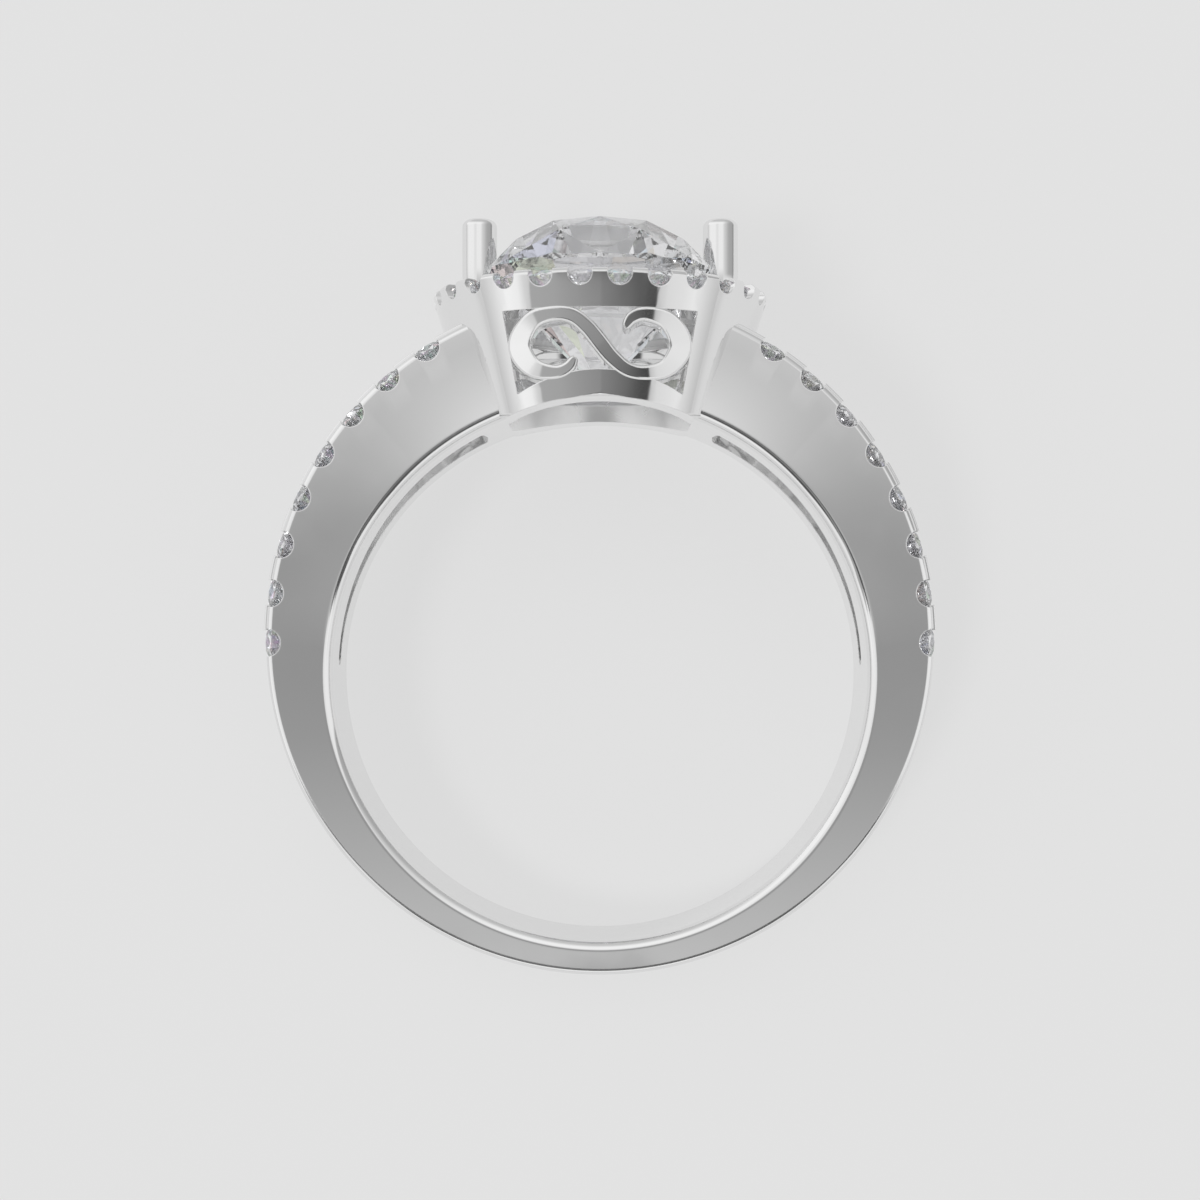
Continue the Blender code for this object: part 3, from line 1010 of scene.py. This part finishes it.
    def make(self) -> Piece:
        """The whole shank.

        Returns:
            The shank.
        """
        made = self.make_quarter()
        places = self.seat_places()
        seat = seat_cutter(self.seat_radius, straight=0.25 * MM, depth=1 * MM)
        cut(made, repeat(seat, places, "row_seats"))
        notch = notch_cutter(self.notch_width, self.notch_depth, reach=1.5 * MM)
        notch.data.transform(Matrix.Rotation(math.pi, 4, "Z"))
        cut(made, repeat(notch, places, "row_notches"))
        cut(made, self.make_trench())
        mesh = made.data
        for axis in (0, 1):
            pick(made, "FACE", lambda face: all(abs(mesh.vertices[v].co[axis]) < NEAR for v in face.vertices))
            bpy.ops.mesh.delete(type="FACE")
            leave_edit()
        use_modifier(made, "MIRROR", use_axis=(True, True, False), merge_threshold=1e-6)
        finish_metal(made)
        return named(made, "split_shank")


def straight_bar(width: float, height: float, rounding: float, cuts: int) -> Piece:
    """A bar one unit long along x, ready to be bent along a path.

    Args:
        width: its size along y.
        height: its size along z.
        rounding: the radius of its four long edges.
        cuts: how many rings divide it.

    Returns:
        The bar.
    """
    made = rounded_section(width, height, (rounding,) * 4, segments=5)
    made.data.transform(TO_SECTION)
    edit_all(made)
    extrude(1, 0, 0)
    leave_edit()
    pick(made, "EDGE", lambda a, b: abs(a.x - b.x) > 0.5)
    bpy.ops.mesh.subdivide(number_cuts=cuts)
    leave_edit()
    return made


def seat_cutter(radius: float, straight: float, depth: float) -> Piece:
    """The cutter of a small stone's seat: a round hole with a cone below it, for a surface at height 0.

    Args:
        radius: the hole's radius.
        straight: how deep it goes before the cone.
        depth: how deep the cone goes.

    Returns:
        The cutter.
    """
    above = 0.5 * MM
    deselect_all()
    bpy.ops.mesh.primitive_cylinder_add(
        vertices=40, radius=radius, depth=above + straight, location=(0, 0, (above - straight) / 2)
    )
    made = bpy.context.object
    apply_place(made)
    pick(made, "FACE", lambda face: face.normal.z < -0.5)
    extrude(0, 0, straight - depth)
    bpy.ops.transform.resize(value=(0.45, 0.45, 1), center_override=(0, 0, 0))
    leave_edit()
    return made


def notch_cutter(width: float, depth: float, reach: float) -> Piece:
    """The cutter of the U-shaped opening beside a small stone, from its middle towards +y.

    Args:
        width: the opening's width.
        depth: how deep it goes below height 0.
        reach: how far it goes.

    Returns:
        The cutter.
    """
    bend = width / 2
    deselect_all()
    bpy.ops.mesh.primitive_cylinder_add(
        vertices=48,
        radius=bend,
        depth=reach,
        location=(0, reach / 2, bend - depth),
        rotation=(math.pi / 2, 0, 0),
    )
    made = bpy.context.object
    apply_place(made)
    pick(made, "VERT", lambda co: co.z > bend - depth + NEAR)
    bpy.ops.transform.translate(value=(0, 0, 0.8 * MM))
    leave_edit()
    return made


@dataclass(frozen=True)
class Head:
    """The tapered cushion head: rim with its seats, pierced windows, hollow inside, open to the finger."""

    power: float = 2.1
    steps: int = 224
    bottom_z: float = 8.15 * MM
    rim_z: float = 12.24 * MM
    top_z: float = 12.42 * MM
    rim_half: float = 5.50 * MM
    taper: float = 0.31
    hole: float = 8.65 * MM
    cavity_half: float = 3.0 * MM
    cavity_bend_z: float = 9.2 * MM
    cavity_taper_z: float = 8.3 * MM
    ceiling_z: float = 11.35 * MM
    seat_foot_z: float = 11.90 * MM
    seat_gap: float = 0.20 * MM
    window_top_z: float = 11.25 * MM
    window_top_half: float = 2.98 * MM
    window_corner_z: float = 8.79 * MM
    window_corner_half: float = 2.55 * MM
    window_arch_z: float = 9.46 * MM
    stones: int = 28
    path_half: float = 4.72 * MM
    stone_rise: float = 0.02 * MM
    seat_radius: float = 0.525 * MM
    notch_width: float = 0.75 * MM
    notch_depth: float = 0.53 * MM
    bead_offset: float = 0.36 * MM
    bead_depth: float = 0.06 * MM

    def half(self, z: float) -> float:
        """Half of the head's width at a height below the rim."""
        return self.rim_half - self.taper * (self.rim_z - z)

    def wall_reach(self, x: float, z: float) -> float:
        """How far forward the wall stands at a place across and a height."""
        wall = self.half(z)
        return wall * (1 - min(1.0, abs(x) / wall) ** self.power) ** (1 / self.power)

    def profile(self, centre: CentreStone) -> list[tuple[float, float]]:
        """The wall's section, as half-widths and heights, from the inner lower edge round to the cavity.

        Args:
            centre: the stone that the seat follows.

        Returns:
            The pairs, in order.
        """
        low, edge, foot = self.bottom_z, 0.10 * MM, 0.10 * MM
        flare, waist, lip = 0.10 * MM, 0.05 * MM, 0.08 * MM
        pairs = [(self.cavity_half + flare, low), (self.half(low + edge) - foot, low)]
        for i in range(1, 5):
            bend = math.pi / 2 * i / 4
            outer = self.half(low + edge * (1 - math.cos(bend)))
            pairs.append((outer - foot * (1 - math.sin(bend)), low + edge * (1 - math.cos(bend))))
        levels, start = 12, low + edge
        heights = [start + (self.rim_z - start) * i / levels for i in range(1, levels + 1)]
        pairs += [(self.half(z), z) for z in heights]
        rise = self.top_z - self.rim_z
        for i in range(1, 7):
            bend = math.pi / 2 * i / 6
            pairs.append((self.rim_half - rise * (1 - math.cos(bend)), self.rim_z + rise * math.sin(bend)))
        seat = centre.pavilion_half(self.top_z) + self.seat_gap
        neck = centre.pavilion_half(self.seat_foot_z) + self.seat_gap
        pairs += [(seat + lip, self.top_z), (seat, self.top_z - waist)]
        pairs += [(neck, self.seat_foot_z), (neck, self.ceiling_z)]
        pairs.append((self.cavity_half + self.taper * (self.ceiling_z - self.cavity_taper_z), self.ceiling_z))
        pairs.append((self.cavity_half - waist, self.cavity_bend_z))
        return pairs

    def make_wall(self, centre: CentreStone) -> Piece:
        """The head before anything is cut: a ring of extruded outlines whose ends are bridged.

        Args:
            centre: the stone that the seat follows.

        Returns:
            The head.
        """
        pairs = self.profile(centre)
        made = circle_of(cushion_outline(self.power, self.steps, 0.5), pairs[0][0], pairs[0][1])
        edit_all(made)
        bpy.ops.mesh.delete(type="ONLY_FACE")
        select_all()
        for (half, z), (next_half, next_z) in zip(pairs, pairs[1:]):
            bpy.ops.mesh.extrude_edges_move(TRANSFORM_OT_translate={"value": (0, 0, next_z - z)})
            scale = next_half / half
            bpy.ops.transform.resize(value=(scale, scale, 1), center_override=(0, 0, 0))
        leave_edit()
        edit_all(made)
        bpy.ops.mesh.select_mode(type="EDGE")
        bpy.ops.mesh.select_all(action="DESELECT")
        bpy.ops.mesh.select_non_manifold(
            extend=False, use_wire=False, use_multi_face=False, use_non_contiguous=False, use_verts=False
        )
        bpy.ops.mesh.bridge_edge_loops()
        leave_edit()
        face_outwards(made)
        return made

    def inside(self, made: Piece) -> list[int]:
        """The numbers of the faces that look into the cavity."""
        found = []
        for face in made.data.polygons:
            x, y, z = face.center
            reach = (abs(x) ** self.power + abs(y) ** self.power) ** (1 / self.power)
            wall = self.cavity_half + self.taper * max(0.0, z - self.cavity_taper_z) + 0.08 * MM
            side = reach < wall and z < self.seat_foot_z and face.normal.x * x + face.normal.y * y < 0
            if side or (abs(z - self.ceiling_z) < NEAR and face.normal.z < -0.9):
                found.append(face.index)
        return found

    def make_arch_cutter(self) -> Piece:
        """The cutter of the finger's round, flared so that both rails end in a round edge."""
        flat, bend, reach = 4.27 * MM, 0.16 * MM, 6.5 * MM
        stations = [(flat, self.hole)]
        for i in range(1, 7):
            angle = math.radians(80) * i / 6
            stations.append((flat + bend * math.sin(angle), self.hole + bend * (1 - math.cos(angle))))
        stations.append((reach, stations[-1][1]))
        stations = [(-y, radius) for y, radius in reversed(stations)] + stations
        deselect_all()
        bpy.ops.mesh.primitive_circle_add(vertices=512, radius=stations[0][1], fill_type="NGON")
        made = bpy.context.object
        made.data.transform(Matrix.Translation((0, stations[0][0], 0)) @ Matrix.Rotation(math.pi / 2, 4, "X"))
        edit_all(made)
        for (y, radius), (next_y, next_radius) in zip(stations, stations[1:]):
            extrude(0, next_y - y, 0)
            scale = next_radius / radius
            bpy.ops.transform.resize(value=(scale, 1, scale), center_override=(0, 0, 0))
        leave_edit()
        face_outwards(made)
        return made

    def make_window_cutter(self) -> Piece:
        """The cutter of both windows, with an arched sill."""
        columns, through = 32, 6.5 * MM
        rise = self.window_arch_z - self.window_corner_z
        arch = (self.window_corner_half**2 + rise**2) / (2 * rise)
        deselect_all()
        bpy.ops.mesh.primitive_grid_add(x_subdivisions=columns, y_subdivisions=1, size=2)
        made = bpy.context.object

        def shape(co: Vector) -> Vector:
            if co.y > 0:
                return Vector((co.x * self.window_top_half, -through, self.window_top_z))
            x = co.x * self.window_corner_half
            return Vector((x, -through, self.window_arch_z - arch + math.sqrt(arch**2 - x * x)))

        move_vertices(made, shape)
        edit_all(made)
        extrude(0, 2 * through, 0)
        leave_edit()
        face_outwards(made)
        return made

    def seat_places(self) -> list[Matrix]:
        """Where the halo stones sit: x along the halo, y outwards, z up."""
        middles = [point * self.path_half for point in cushion_outline(self.power, self.stones, 0.5)]
        places = []
        for i, middle in enumerate(middles):
            along = (middles[i - 1] - middles[(i + 1) % self.stones]).normalized()
            place = Matrix.Rotation(math.atan2(along.y, along.x), 4, "Z")
            place.translation = Vector((middle.x, middle.y, self.top_z))
            places.append(place)
        return places

    def bead_places(self) -> list[Matrix]:
        """Where the halo's beads sit: one towards the stone and one towards the rim in every gap."""
        places = []
        for gap in cushion_outline(self.power, self.stones):
            for offset in (-self.bead_offset, self.bead_offset):
                reach = gap * (self.path_half + offset)
                places.append(Matrix.Translation((reach.x, reach.y, self.top_z - self.bead_depth)))
        return places

    def make(self, centre: CentreStone) -> Piece:
        """The finished head.

        Args:
            centre: the stone that the seat follows.

        Returns:
            The head.
        """
        made = self.make_wall(centre)
        cut(made, self.make_arch_cutter())
        cut(made, self.make_window_cutter())
        places = self.seat_places()
        seat = seat_cutter(self.seat_radius, straight=0.17 * MM, depth=0.66 * MM)
        cut(made, repeat(seat, places, "halo_seats"))
        notch = notch_cutter(self.notch_width, self.notch_depth, reach=1.4 * MM)
        cut(made, repeat(notch, places, "halo_notches"))
        finish_metal(made)
        return named(made, "scrolled_head")


@dataclass(frozen=True)
class Scroll:
    """The lying S-scroll of a window: a band with round edges whose width swells at its outer turns.

    Attributes:
        middle_z: the height of its middle.
        depth: its thickness along the finger.
        recess: how far it lies behind the wall's face.
        edge: the radius of its long edges.
        middle_width: its width in the middle, in millimetres.
        steps: how many rings divide it.
        half_path: half of its middle line, from a hook to the middle: across, up and width, in millimetres.
    """

    middle_z: float = 10.225 * MM
    depth: float = 1.0 * MM
    recess: float = -0.03 * MM
    edge: float = 0.10 * MM
    middle_width: float = 0.53
    steps: int = 240
    half_path: tuple[tuple[float, float, float], ...] = (
        (-0.76, -0.40, 0.30),
        (-0.98, -0.72, 0.40),
        (-1.42, -0.85, 0.46),
        (-2.10, -0.66, 0.62),
        (-2.49, 0.00, 0.76),
        (-2.10, 0.66, 0.60),
        (-1.46, 0.86, 0.48),
        (-0.86, 0.79, 0.48),
        (-0.38, 0.44, 0.51),
    )

    def rows(self) -> list[tuple[float, float, float]]:
        """The whole middle line: the half, the middle, and the half turned round."""
        turned = [(-x, -z, width) for x, z, width in reversed(self.half_path)]
        return [*self.half_path, (0.0, 0.0, self.middle_width), *turned]

    def at(self, share: float) -> tuple[Vector, float]:
        """The middle line's point and the band's width at a share of its length, read from a smooth curve."""
        rows = self.rows()
        spans = len(rows) - 1
        whole = min(max(share, 0.0), 1.0) * spans
        i = min(int(whole), spans - 1)
        t = whole - i
        quad = [rows[min(max(k, 0), spans)] for k in (i - 1, i, i + 1, i + 2)]
        x, z, width = (
            0.5 * (2 * q + (r - p) * t + (2 * p - 5 * q + 4 * r - s) * t**2 + (3 * q - p - 3 * r + s) * t**3)
            for p, q, r, s in zip(*quad)
        )
        return Vector((x, z)) * MM, width * MM

    def make(self, head: Head, face: Face) -> Piece:
        """The scroll of one window.

        Args:
            head: the head whose wall it follows.
            face: the window.

        Returns:
            The scroll.
        """
        unit = 1 * MM
        made = straight_bar(unit, self.depth, self.edge, self.steps)
        tiny = 1e-3

        def bend(co: Vector) -> Vector:
            point, width = self.at(co.x)
            after, before = self.at(co.x + tiny)[0], self.at(co.x - tiny)[0]
            along = (after - before).normalized()
            end = min(co.x, 1 - co.x) * 24  # the hooks end round
            if end < 1:
                width *= 0.35 + 0.65 * math.sqrt(1 - (1 - end) ** 2)
            side = math.copysign(width / 2 - (unit / 2 - abs(co.y)), co.y)
            x = point.x - along.y * side
            z = self.middle_z + point.y + along.x * side
            deep = self.recess + co.z + self.depth / 2
            return Vector((-face.value * x, face.value * (head.wall_reach(x, z) - deep), z))

        move_vertices(made, bend)
        finish_metal(made, math.radians(40))
        return named(made, f"scroll_{face.name.lower()}")


@dataclass(frozen=True)
class Prongs:
    """Two upright round prongs with softly rounded tips, notched to the centre stone."""

    x: float = 4.0 * MM
    radius: float = 0.58 * MM
    foot_radius: float = 0.50 * MM
    foot_z: float = 11.55 * MM
    top_z: float = 15.02 * MM
    tip_round: float = 0.24 * MM
    swell: float = 1.8 * MM  # how far above its foot a prong is fully thick
    lean: float = 0.05 * MM

    def make(self, side: Side, centre: CentreStone) -> Piece:
        """One prong.

        Args:
            side: which side it stands on.
            centre: the stone that it is cut to.

        Returns:
            The prong.
        """
        deselect_all()
        height = self.top_z - self.foot_z
        bpy.ops.mesh.primitive_cylinder_add(
            vertices=64, radius=self.radius, depth=height, location=(0, 0, self.foot_z + height / 2)
        )
        made = bpy.context.object
        apply_place(made)
        top = self.top_z
        pick(made, "EDGE", lambda a, b: a.z > top - NEAR and b.z > top - NEAR)
        bpy.ops.mesh.bevel(offset=self.tip_round, segments=8, affect="EDGES", offset_type="OFFSET")
        leave_edit()
        pick(made, "EDGE", lambda a, b: abs(a.z - b.z) > 1 * MM)
        bpy.ops.mesh.subdivide(number_cuts=24)
        leave_edit()

        def shape(co: Vector) -> Vector:
            share = min(1.0, (co.z - self.foot_z) / self.swell)
            share = share * share * (3 - 2 * share)
            scale = (self.foot_radius + (self.radius - self.foot_radius) * share) / self.radius
            lean = -self.lean * (1 - share)
            return Vector((side.value * (self.x + lean + co.x * scale), co.y * scale, co.z))

        move_vertices(made, shape)
        face_outwards(made)
        cutter = centre.make("prong_cutter")
        middle = centre.table_z - centre.cut.crown
        there, back = Matrix.Translation((0, 0, middle)), Matrix.Translation((0, 0, -middle))
        cutter.data.transform(there @ Matrix.Scale(1.012, 4) @ back)
        cut(made, cutter)
        finish_metal(made)
        return named(made, f"prong_{side.name.lower()}")


@dataclass(frozen=True)
class Beads:
    """The tiny raised beads that hold the small stones."""

    radius: float = 0.11 * MM

    def make(self, places: Iterable[Matrix], name: str) -> Piece:
        """Beads at the given places.

        Args:
            places: where they sit.
            name: the object's name.

        Returns:
            The beads, as one object.
        """
        deselect_all()
        bpy.ops.mesh.primitive_ico_sphere_add(subdivisions=3, radius=self.radius)
        made = bpy.context.object
        edit_all(made)
        bpy.ops.transform.resize(value=(1.0, 1.0, 0.85), center_override=(0, 0, 0))
        leave_edit()
        made = repeat(made, places, name)
        take(made)
        bpy.ops.object.shade_smooth()
        return made


# Studio


@dataclass(frozen=True)
class Greys:
    """Greys that are worked out by shader nodes.

    Attributes:
        tree: the node tree.
    """

    tree: Tree

    def maths(self, operation: str, first: object, second: object = 0.0) -> Socket:
        """Two values through one Math node."""
        node = add_node(self.tree, "ShaderNodeMath", {0: first, 1: second}, operation=operation)
        return node.outputs["Value"]

    def along(self, direction: Socket, axis: Vector) -> Socket:
        """How far a direction goes along an axis, from -1 to 1."""
        node = add_node(self.tree, "ShaderNodeVectorMath", {0: direction, 1: axis}, operation="DOT_PRODUCT")
        return node.outputs["Value"]

    def step(self, value: Socket, low: float, high: float) -> Socket:
        """A soft step from 0 at low to 1 at high."""
        return carry(self.tree, value, (low, high), kind="SMOOTHSTEP")

    def band(self, value: Socket, first: tuple[float, float], second: tuple[float, float]) -> Socket:
        """1 where both soft steps are, and 0 elsewhere."""
        return self.maths("MULTIPLY", self.step(value, *first), self.step(value, *second))

    def ramp(self, value: Socket, stops: Stops) -> Socket:
        """A grey ramp over a value from -1 to 1.

        Args:
            value: the value.
            stops: pairs of value and linear brightness.

        Returns:
            The brightness.
        """
        node = add_node(self.tree, "ShaderNodeValToRGB", {"Fac": carry(self.tree, value, (-1.0, 1.0))})
        elements = node.color_ramp.elements
        elements.remove(elements[-1])
        for i, (place, grey) in enumerate(stops):
            element = elements[0] if i == 0 else elements.new((place + 1) / 2)
            element.position = (place + 1) / 2
            element.color = (grey, grey, grey, 1)
        return node.outputs["Color"]

    def blend(self, share: Socket, first: object, second: object) -> Socket:
        """A value between two, by a share."""
        inputs = {"Factor": share, 2: first, 3: second}
        return add_node(self.tree, "ShaderNodeMix", inputs, data_type="FLOAT").outputs[0]


@dataclass(frozen=True)
class Tent:
    """The white tent round the ring, and its grey cards.

    The cards stand where the photograph's polished faces show grey. Directions are in the ring's own frame:
    across is towards the right and up is towards the head, both from -1 to 1.

    Attributes:
        cloth: the tent's brightness by up.
        upper: the upper card's brightness by up.
        lower: the lower card's brightness by across.
        bow: how far the lower card's edges rise towards its sides.
        upper_side: the upper card's brightness at its sides.
        right: the right-hand card's brightness.
        edge: the brightness of the lower card's dark edges.
        floor_edge: the share of the light that is left level with the floor.
    """

    cloth: Stops = (
        *((-1.0, 0.95), (-0.55, 0.86), (-0.30, 0.94), (0.10, 0.90)),
        *((0.35, 1.0), (0.60, 0.98), (0.90, 0.60)),
    )
    upper: Stops = (
        *((-0.29, 0.58), (-0.235, 0.48), (-0.19, 0.40), (-0.155, 0.345), (-0.12, 0.325)),
        *((0.0, 0.34), (0.06, 0.52), (0.13, 0.74), (0.18, 0.92), (0.35, 0.96)),
    )
    lower: Stops = (
        *((-1.0, 0.90), (-0.86, 1.0), (-0.78, 0.95), (-0.72, 0.72), (-0.690, 0.66), (-0.675, 0.42)),
        *((-0.45, 0.40), (-0.30, 0.36), (0.0, 0.29), (0.02, 0.25), (0.30, 0.16), (0.48, 0.08)),
        *((0.560, 0.07), (0.585, 0.60), (0.66, 0.78), (0.80, 0.84), (0.88, 0.92), (1.0, 0.86)),
    )
    bow: float = 0.084
    upper_side: float = 0.84
    right: float = 0.42
    edge: float = 0.09
    floor_edge: float = 0.66

    def make(self, ring: RingFrame) -> None:
        """Sets the tent and its cards up, as a function of direction."""
        world = bpy.data.worlds.new("soft_studio")
        bpy.context.scene.world = world
        world.use_nodes = True
        tree = world.node_tree
        greys = Greys(tree)
        axes = ring.matrix().to_3x3().transposed()
        direction = add_node(tree, "ShaderNodeTexCoord").outputs["Generated"]
        across, up = greys.along(direction, axes[0]), greys.along(direction, axes[2])
        aside = greys.maths("ABSOLUTE", across)
        grey = greys.ramp(up, self.cloth)

        # The upper card, level with the ring: darkest a little below level, fading out sideways and upwards
        card = greys.blend(greys.step(aside, 0.215, 0.325), greys.ramp(up, self.upper), self.upper_side)
        level = greys.band(up, (-0.315, -0.295), (0.45, 0.22))
        grey = greys.blend(greys.maths("MULTIPLY", level, greys.step(aside, 0.60, 0.45)), grey, card)

        # The lower card, which the head's tapered wall shows: grey on the left, nearly black on the right
        rise = greys.maths("MULTIPLY", greys.maths("MULTIPLY", aside, aside), self.bow)
        bowed = greys.maths("SUBTRACT", up, rise)
        level = greys.band(bowed, (-0.515, -0.500), (-0.375, -0.390))
        wing = greys.band(up, (-0.515, -0.500), (-0.10, -0.20))
        wing = greys.maths("MULTIPLY", wing, greys.step(aside, 0.70, 0.76))
        grey = greys.blend(greys.maths("MAXIMUM", level, wing), grey, greys.ramp(across, self.lower))

        # The right-hand card, which the prongs show
        level = greys.maths("MULTIPLY", greys.step(up, 0.08, 0.14), greys.step(across, 0.10, 0.90))
        grey = greys.blend(level, grey, self.right)

        # The lower card's dark edges
        for low, high in ((-0.390, -0.300), (-0.70, -0.500)):
            level = greys.band(bowed, (low - 0.01, low), (high + 0.01, high))
            level = greys.maths("MULTIPLY", level, greys.step(aside, 0.45, 0.38))
            grey = greys.blend(level, grey, self.edge)

        # Below the head's level everything is duller towards the floor's edge
        height = add_node(tree, "ShaderNodeSeparateXYZ", {0: direction}).outputs["Z"]
        dull = carry(tree, height, (0.0, 0.30), (self.floor_edge, 1.0))
        dull = greys.blend(greys.step(up, 0.20, 0.45), dull, 1.0)
        tree.links.new(greys.maths("MULTIPLY", grey, dull), tree.nodes["Background"].inputs["Color"])


@dataclass(frozen=True)
class Studio:
    """Pale floor, soft light, the tent and the camera.

    Attributes:
        lens_mm: the camera's lens.
        camera_distance: how far in front of the finger hole's middle it stands.
        camera_height: how far above it.
        floor_half: half of the floor's side.
        floor_drop: how far the floor lies below the ring.
        sun: the overhead light's strength.
        sun_angle: how wide it is.
        sun_turn: how far it leans about x and y.
        light_bounces: how often light is followed, which crosses a diamond many times before it leaves.
    """

    lens_mm: float = 50.0
    camera_distance: float = 55.4 * MM
    camera_height: float = 2.41 * MM
    floor_half: float = 1.5
    floor_drop: float = 0.02 * MM
    sun: float = 0.9
    sun_angle: float = math.radians(14)
    sun_turn: tuple[float, float] = (math.radians(24), math.radians(-28))
    light_bounces: int = 24

    def make_floor(self) -> None:
        """The floor under the ring."""
        deselect_all()
        bpy.ops.mesh.primitive_plane_add(size=2 * self.floor_half, location=(0, 0, -self.floor_drop))
        floor = named(bpy.context.object, "studio_floor")
        apply_place(floor)
        floor.data.materials.append(OpalFloor().make())
        floor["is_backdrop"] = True

    def make_camera(self, ring: RingFrame) -> None:
        """The camera, level with the ring's own frame."""
        camera = bpy.data.objects.new("camera", bpy.data.cameras.new("camera"))
        bpy.context.scene.collection.objects.link(camera)
        camera.data.lens = self.lens_mm
        camera.data.sensor_width = 36.0
        camera.data.clip_start = 1 * MM
        look = Matrix.Translation((0, -self.camera_distance, self.camera_height))
        camera.matrix_world = ring.matrix() @ look @ Matrix.Rotation(math.pi / 2, 4, "X")
        bpy.context.scene.camera = camera

    def make_light(self) -> None:
        """One very soft overhead light, which doesn't show as a spot in the metal."""
        light = bpy.data.lights.new("overhead", "SUN")
        light.energy, light.angle = self.sun, self.sun_angle
        overhead = bpy.data.objects.new("overhead", light)
        overhead.visible_glossy = False
        overhead.rotation_euler = (*self.sun_turn, 0)
        bpy.context.scene.collection.objects.link(overhead)

    def make(self, ring: RingFrame) -> None:
        """Everything that isn't the ring."""
        self.make_floor()
        self.make_camera(ring)
        self.make_light()
        Tent().make(ring)
        scene = bpy.context.scene
        scene.view_settings.view_transform = "Standard"
        for name in ("max_bounces", "glossy_bounces", "transmission_bounces"):
            setattr(scene.cycles, name, self.light_bounces)


@dataclass
class HaloRing:
    """The whole ring: makes each piece, lays it down, gives it its finish and hides the solid that it stands
    for.
    """

    ring: RingFrame = field(default_factory=RingFrame)
    shank: Shank = field(default_factory=Shank)
    head: Head = field(default_factory=Head)
    scroll: Scroll = field(default_factory=Scroll)
    prongs: Prongs = field(default_factory=Prongs)
    beads: Beads = field(default_factory=Beads)
    centre: CentreStone = field(default_factory=CentreStone)
    small: SmallStones = field(default_factory=SmallStones)

    def place(self, made: Piece, material: Material, slot: str, node: str) -> None:
        """Lays one piece down, gives it its finish, hangs it under the root body and hides the solid that it
        stands for.

        Args:
            made: the piece, in the ring's own frame.
            material: its finish.
            slot: the record's material slot. It is not used.
            node: the solid that it stands for, or a part of it.
        """
        self.ring.lay_down(made)
        made.data.materials.append(material)
        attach(made, "root")
        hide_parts(node)
        LOG.info("%s: %d faces", made.name, len(made.data.polygons))

    def four_arms(self) -> Iterator[tuple[str, Matrix]]:
        """Each arm's name, and the mirror that carries the front right arm there."""
        for face in Face:
            for side in Side:
                name = f"{face.name}_{side.name}".lower()
                yield name, Matrix.Diagonal((side.value, -face.value, 1, 1))

    def make_metal(self) -> None:
        """The casting's pieces, and the beads."""
        gold = PolishedWhiteGold().make()
        head = self.head.make(self.centre)
        inner = self.head.inside(head)
        pieces = [self.shank.make(), head]
        pieces += [self.scroll.make(self.head, face) for face in Face]
        pieces += [self.prongs.make(side, self.centre) for side in Side]
        pieces.append(repeat(self.shank.make_bars(), [mirror for _, mirror in self.four_arms()], "arm_bars"))
        pieces.append(self.beads.make(self.head.bead_places(), "halo_beads"))
        for piece in pieces:
            self.place(piece, gold, "white_gold", "ring_body")
        head.data.materials.append(SatinWhiteGold().make())
        for i in inner:
            head.data.polygons[i].material_index = 1

    def make_stones(self) -> None:
        """The centre stone, the halo's stones and the arms' stones."""
        self.place(self.centre.make(), CutDiamond().make(), "diamond", "centre_stone")
        diamond = SmallDiamond().make()
        sample = self.small.make(self.small.halo_radius, "sample")
        places = self.turned(self.head.seat_places(), self.head.stone_rise, Matrix.Identity(4))
        for i, place in enumerate(places):
            stone = copy_to(sample, place, f"halo_stone_cut_{i + 1:02d}")
            self.place(stone, diamond, "small_diamond", f"halo_stone_{i + 1:02d}")
        bpy.data.objects.remove(sample)
        sample = self.small.make(self.small.row_radius, "sample")
        for name, mirror in self.four_arms():
            places = self.turned(self.shank.seat_places(), self.shank.row_rise, mirror)
            row = repeat(sample, places, f"arm_stones_{name}", keep=True)
            self.place(row, diamond, "small_diamond", f"pave_row_{name}")
        bpy.data.objects.remove(sample)

    @staticmethod
    def turned(places: Iterable[Matrix], rise: float, mirror: Matrix) -> list[Matrix]:
        """Stones' places, raised a little and mirrored, with each stone turned about its own axis."""
        up = Matrix.Translation((0, 0, rise))
        turns = (Matrix.Rotation(STONE_TURN * i, 4, "Z") for i in itertools.count())
        return [mirror @ place @ up @ turn for place, turn in zip(places, turns)]

    def make(self) -> None:
        """The whole ring."""
        self.make_metal()
        self.make_stones()


def write_size() -> None:
    """Works out the solids' box and the dressed ring's box as plain lists, and writes nothing."""
    boxes = {"cad": CAD_BOX, "visual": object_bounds()}
    plain = {name: [[float(v) for v in corner] for corner in box] for name, box in boxes.items()}


def main() -> None:
    """Builds the studio and the ring."""
    logging.basicConfig(level=logging.INFO, format="%(name)s %(message)s", stream=sys.stdout)
    ring = HaloRing()
    Studio().make(ring.ring)
    ring.make()
    write_size()


if __name__ == "__main__":
    main()
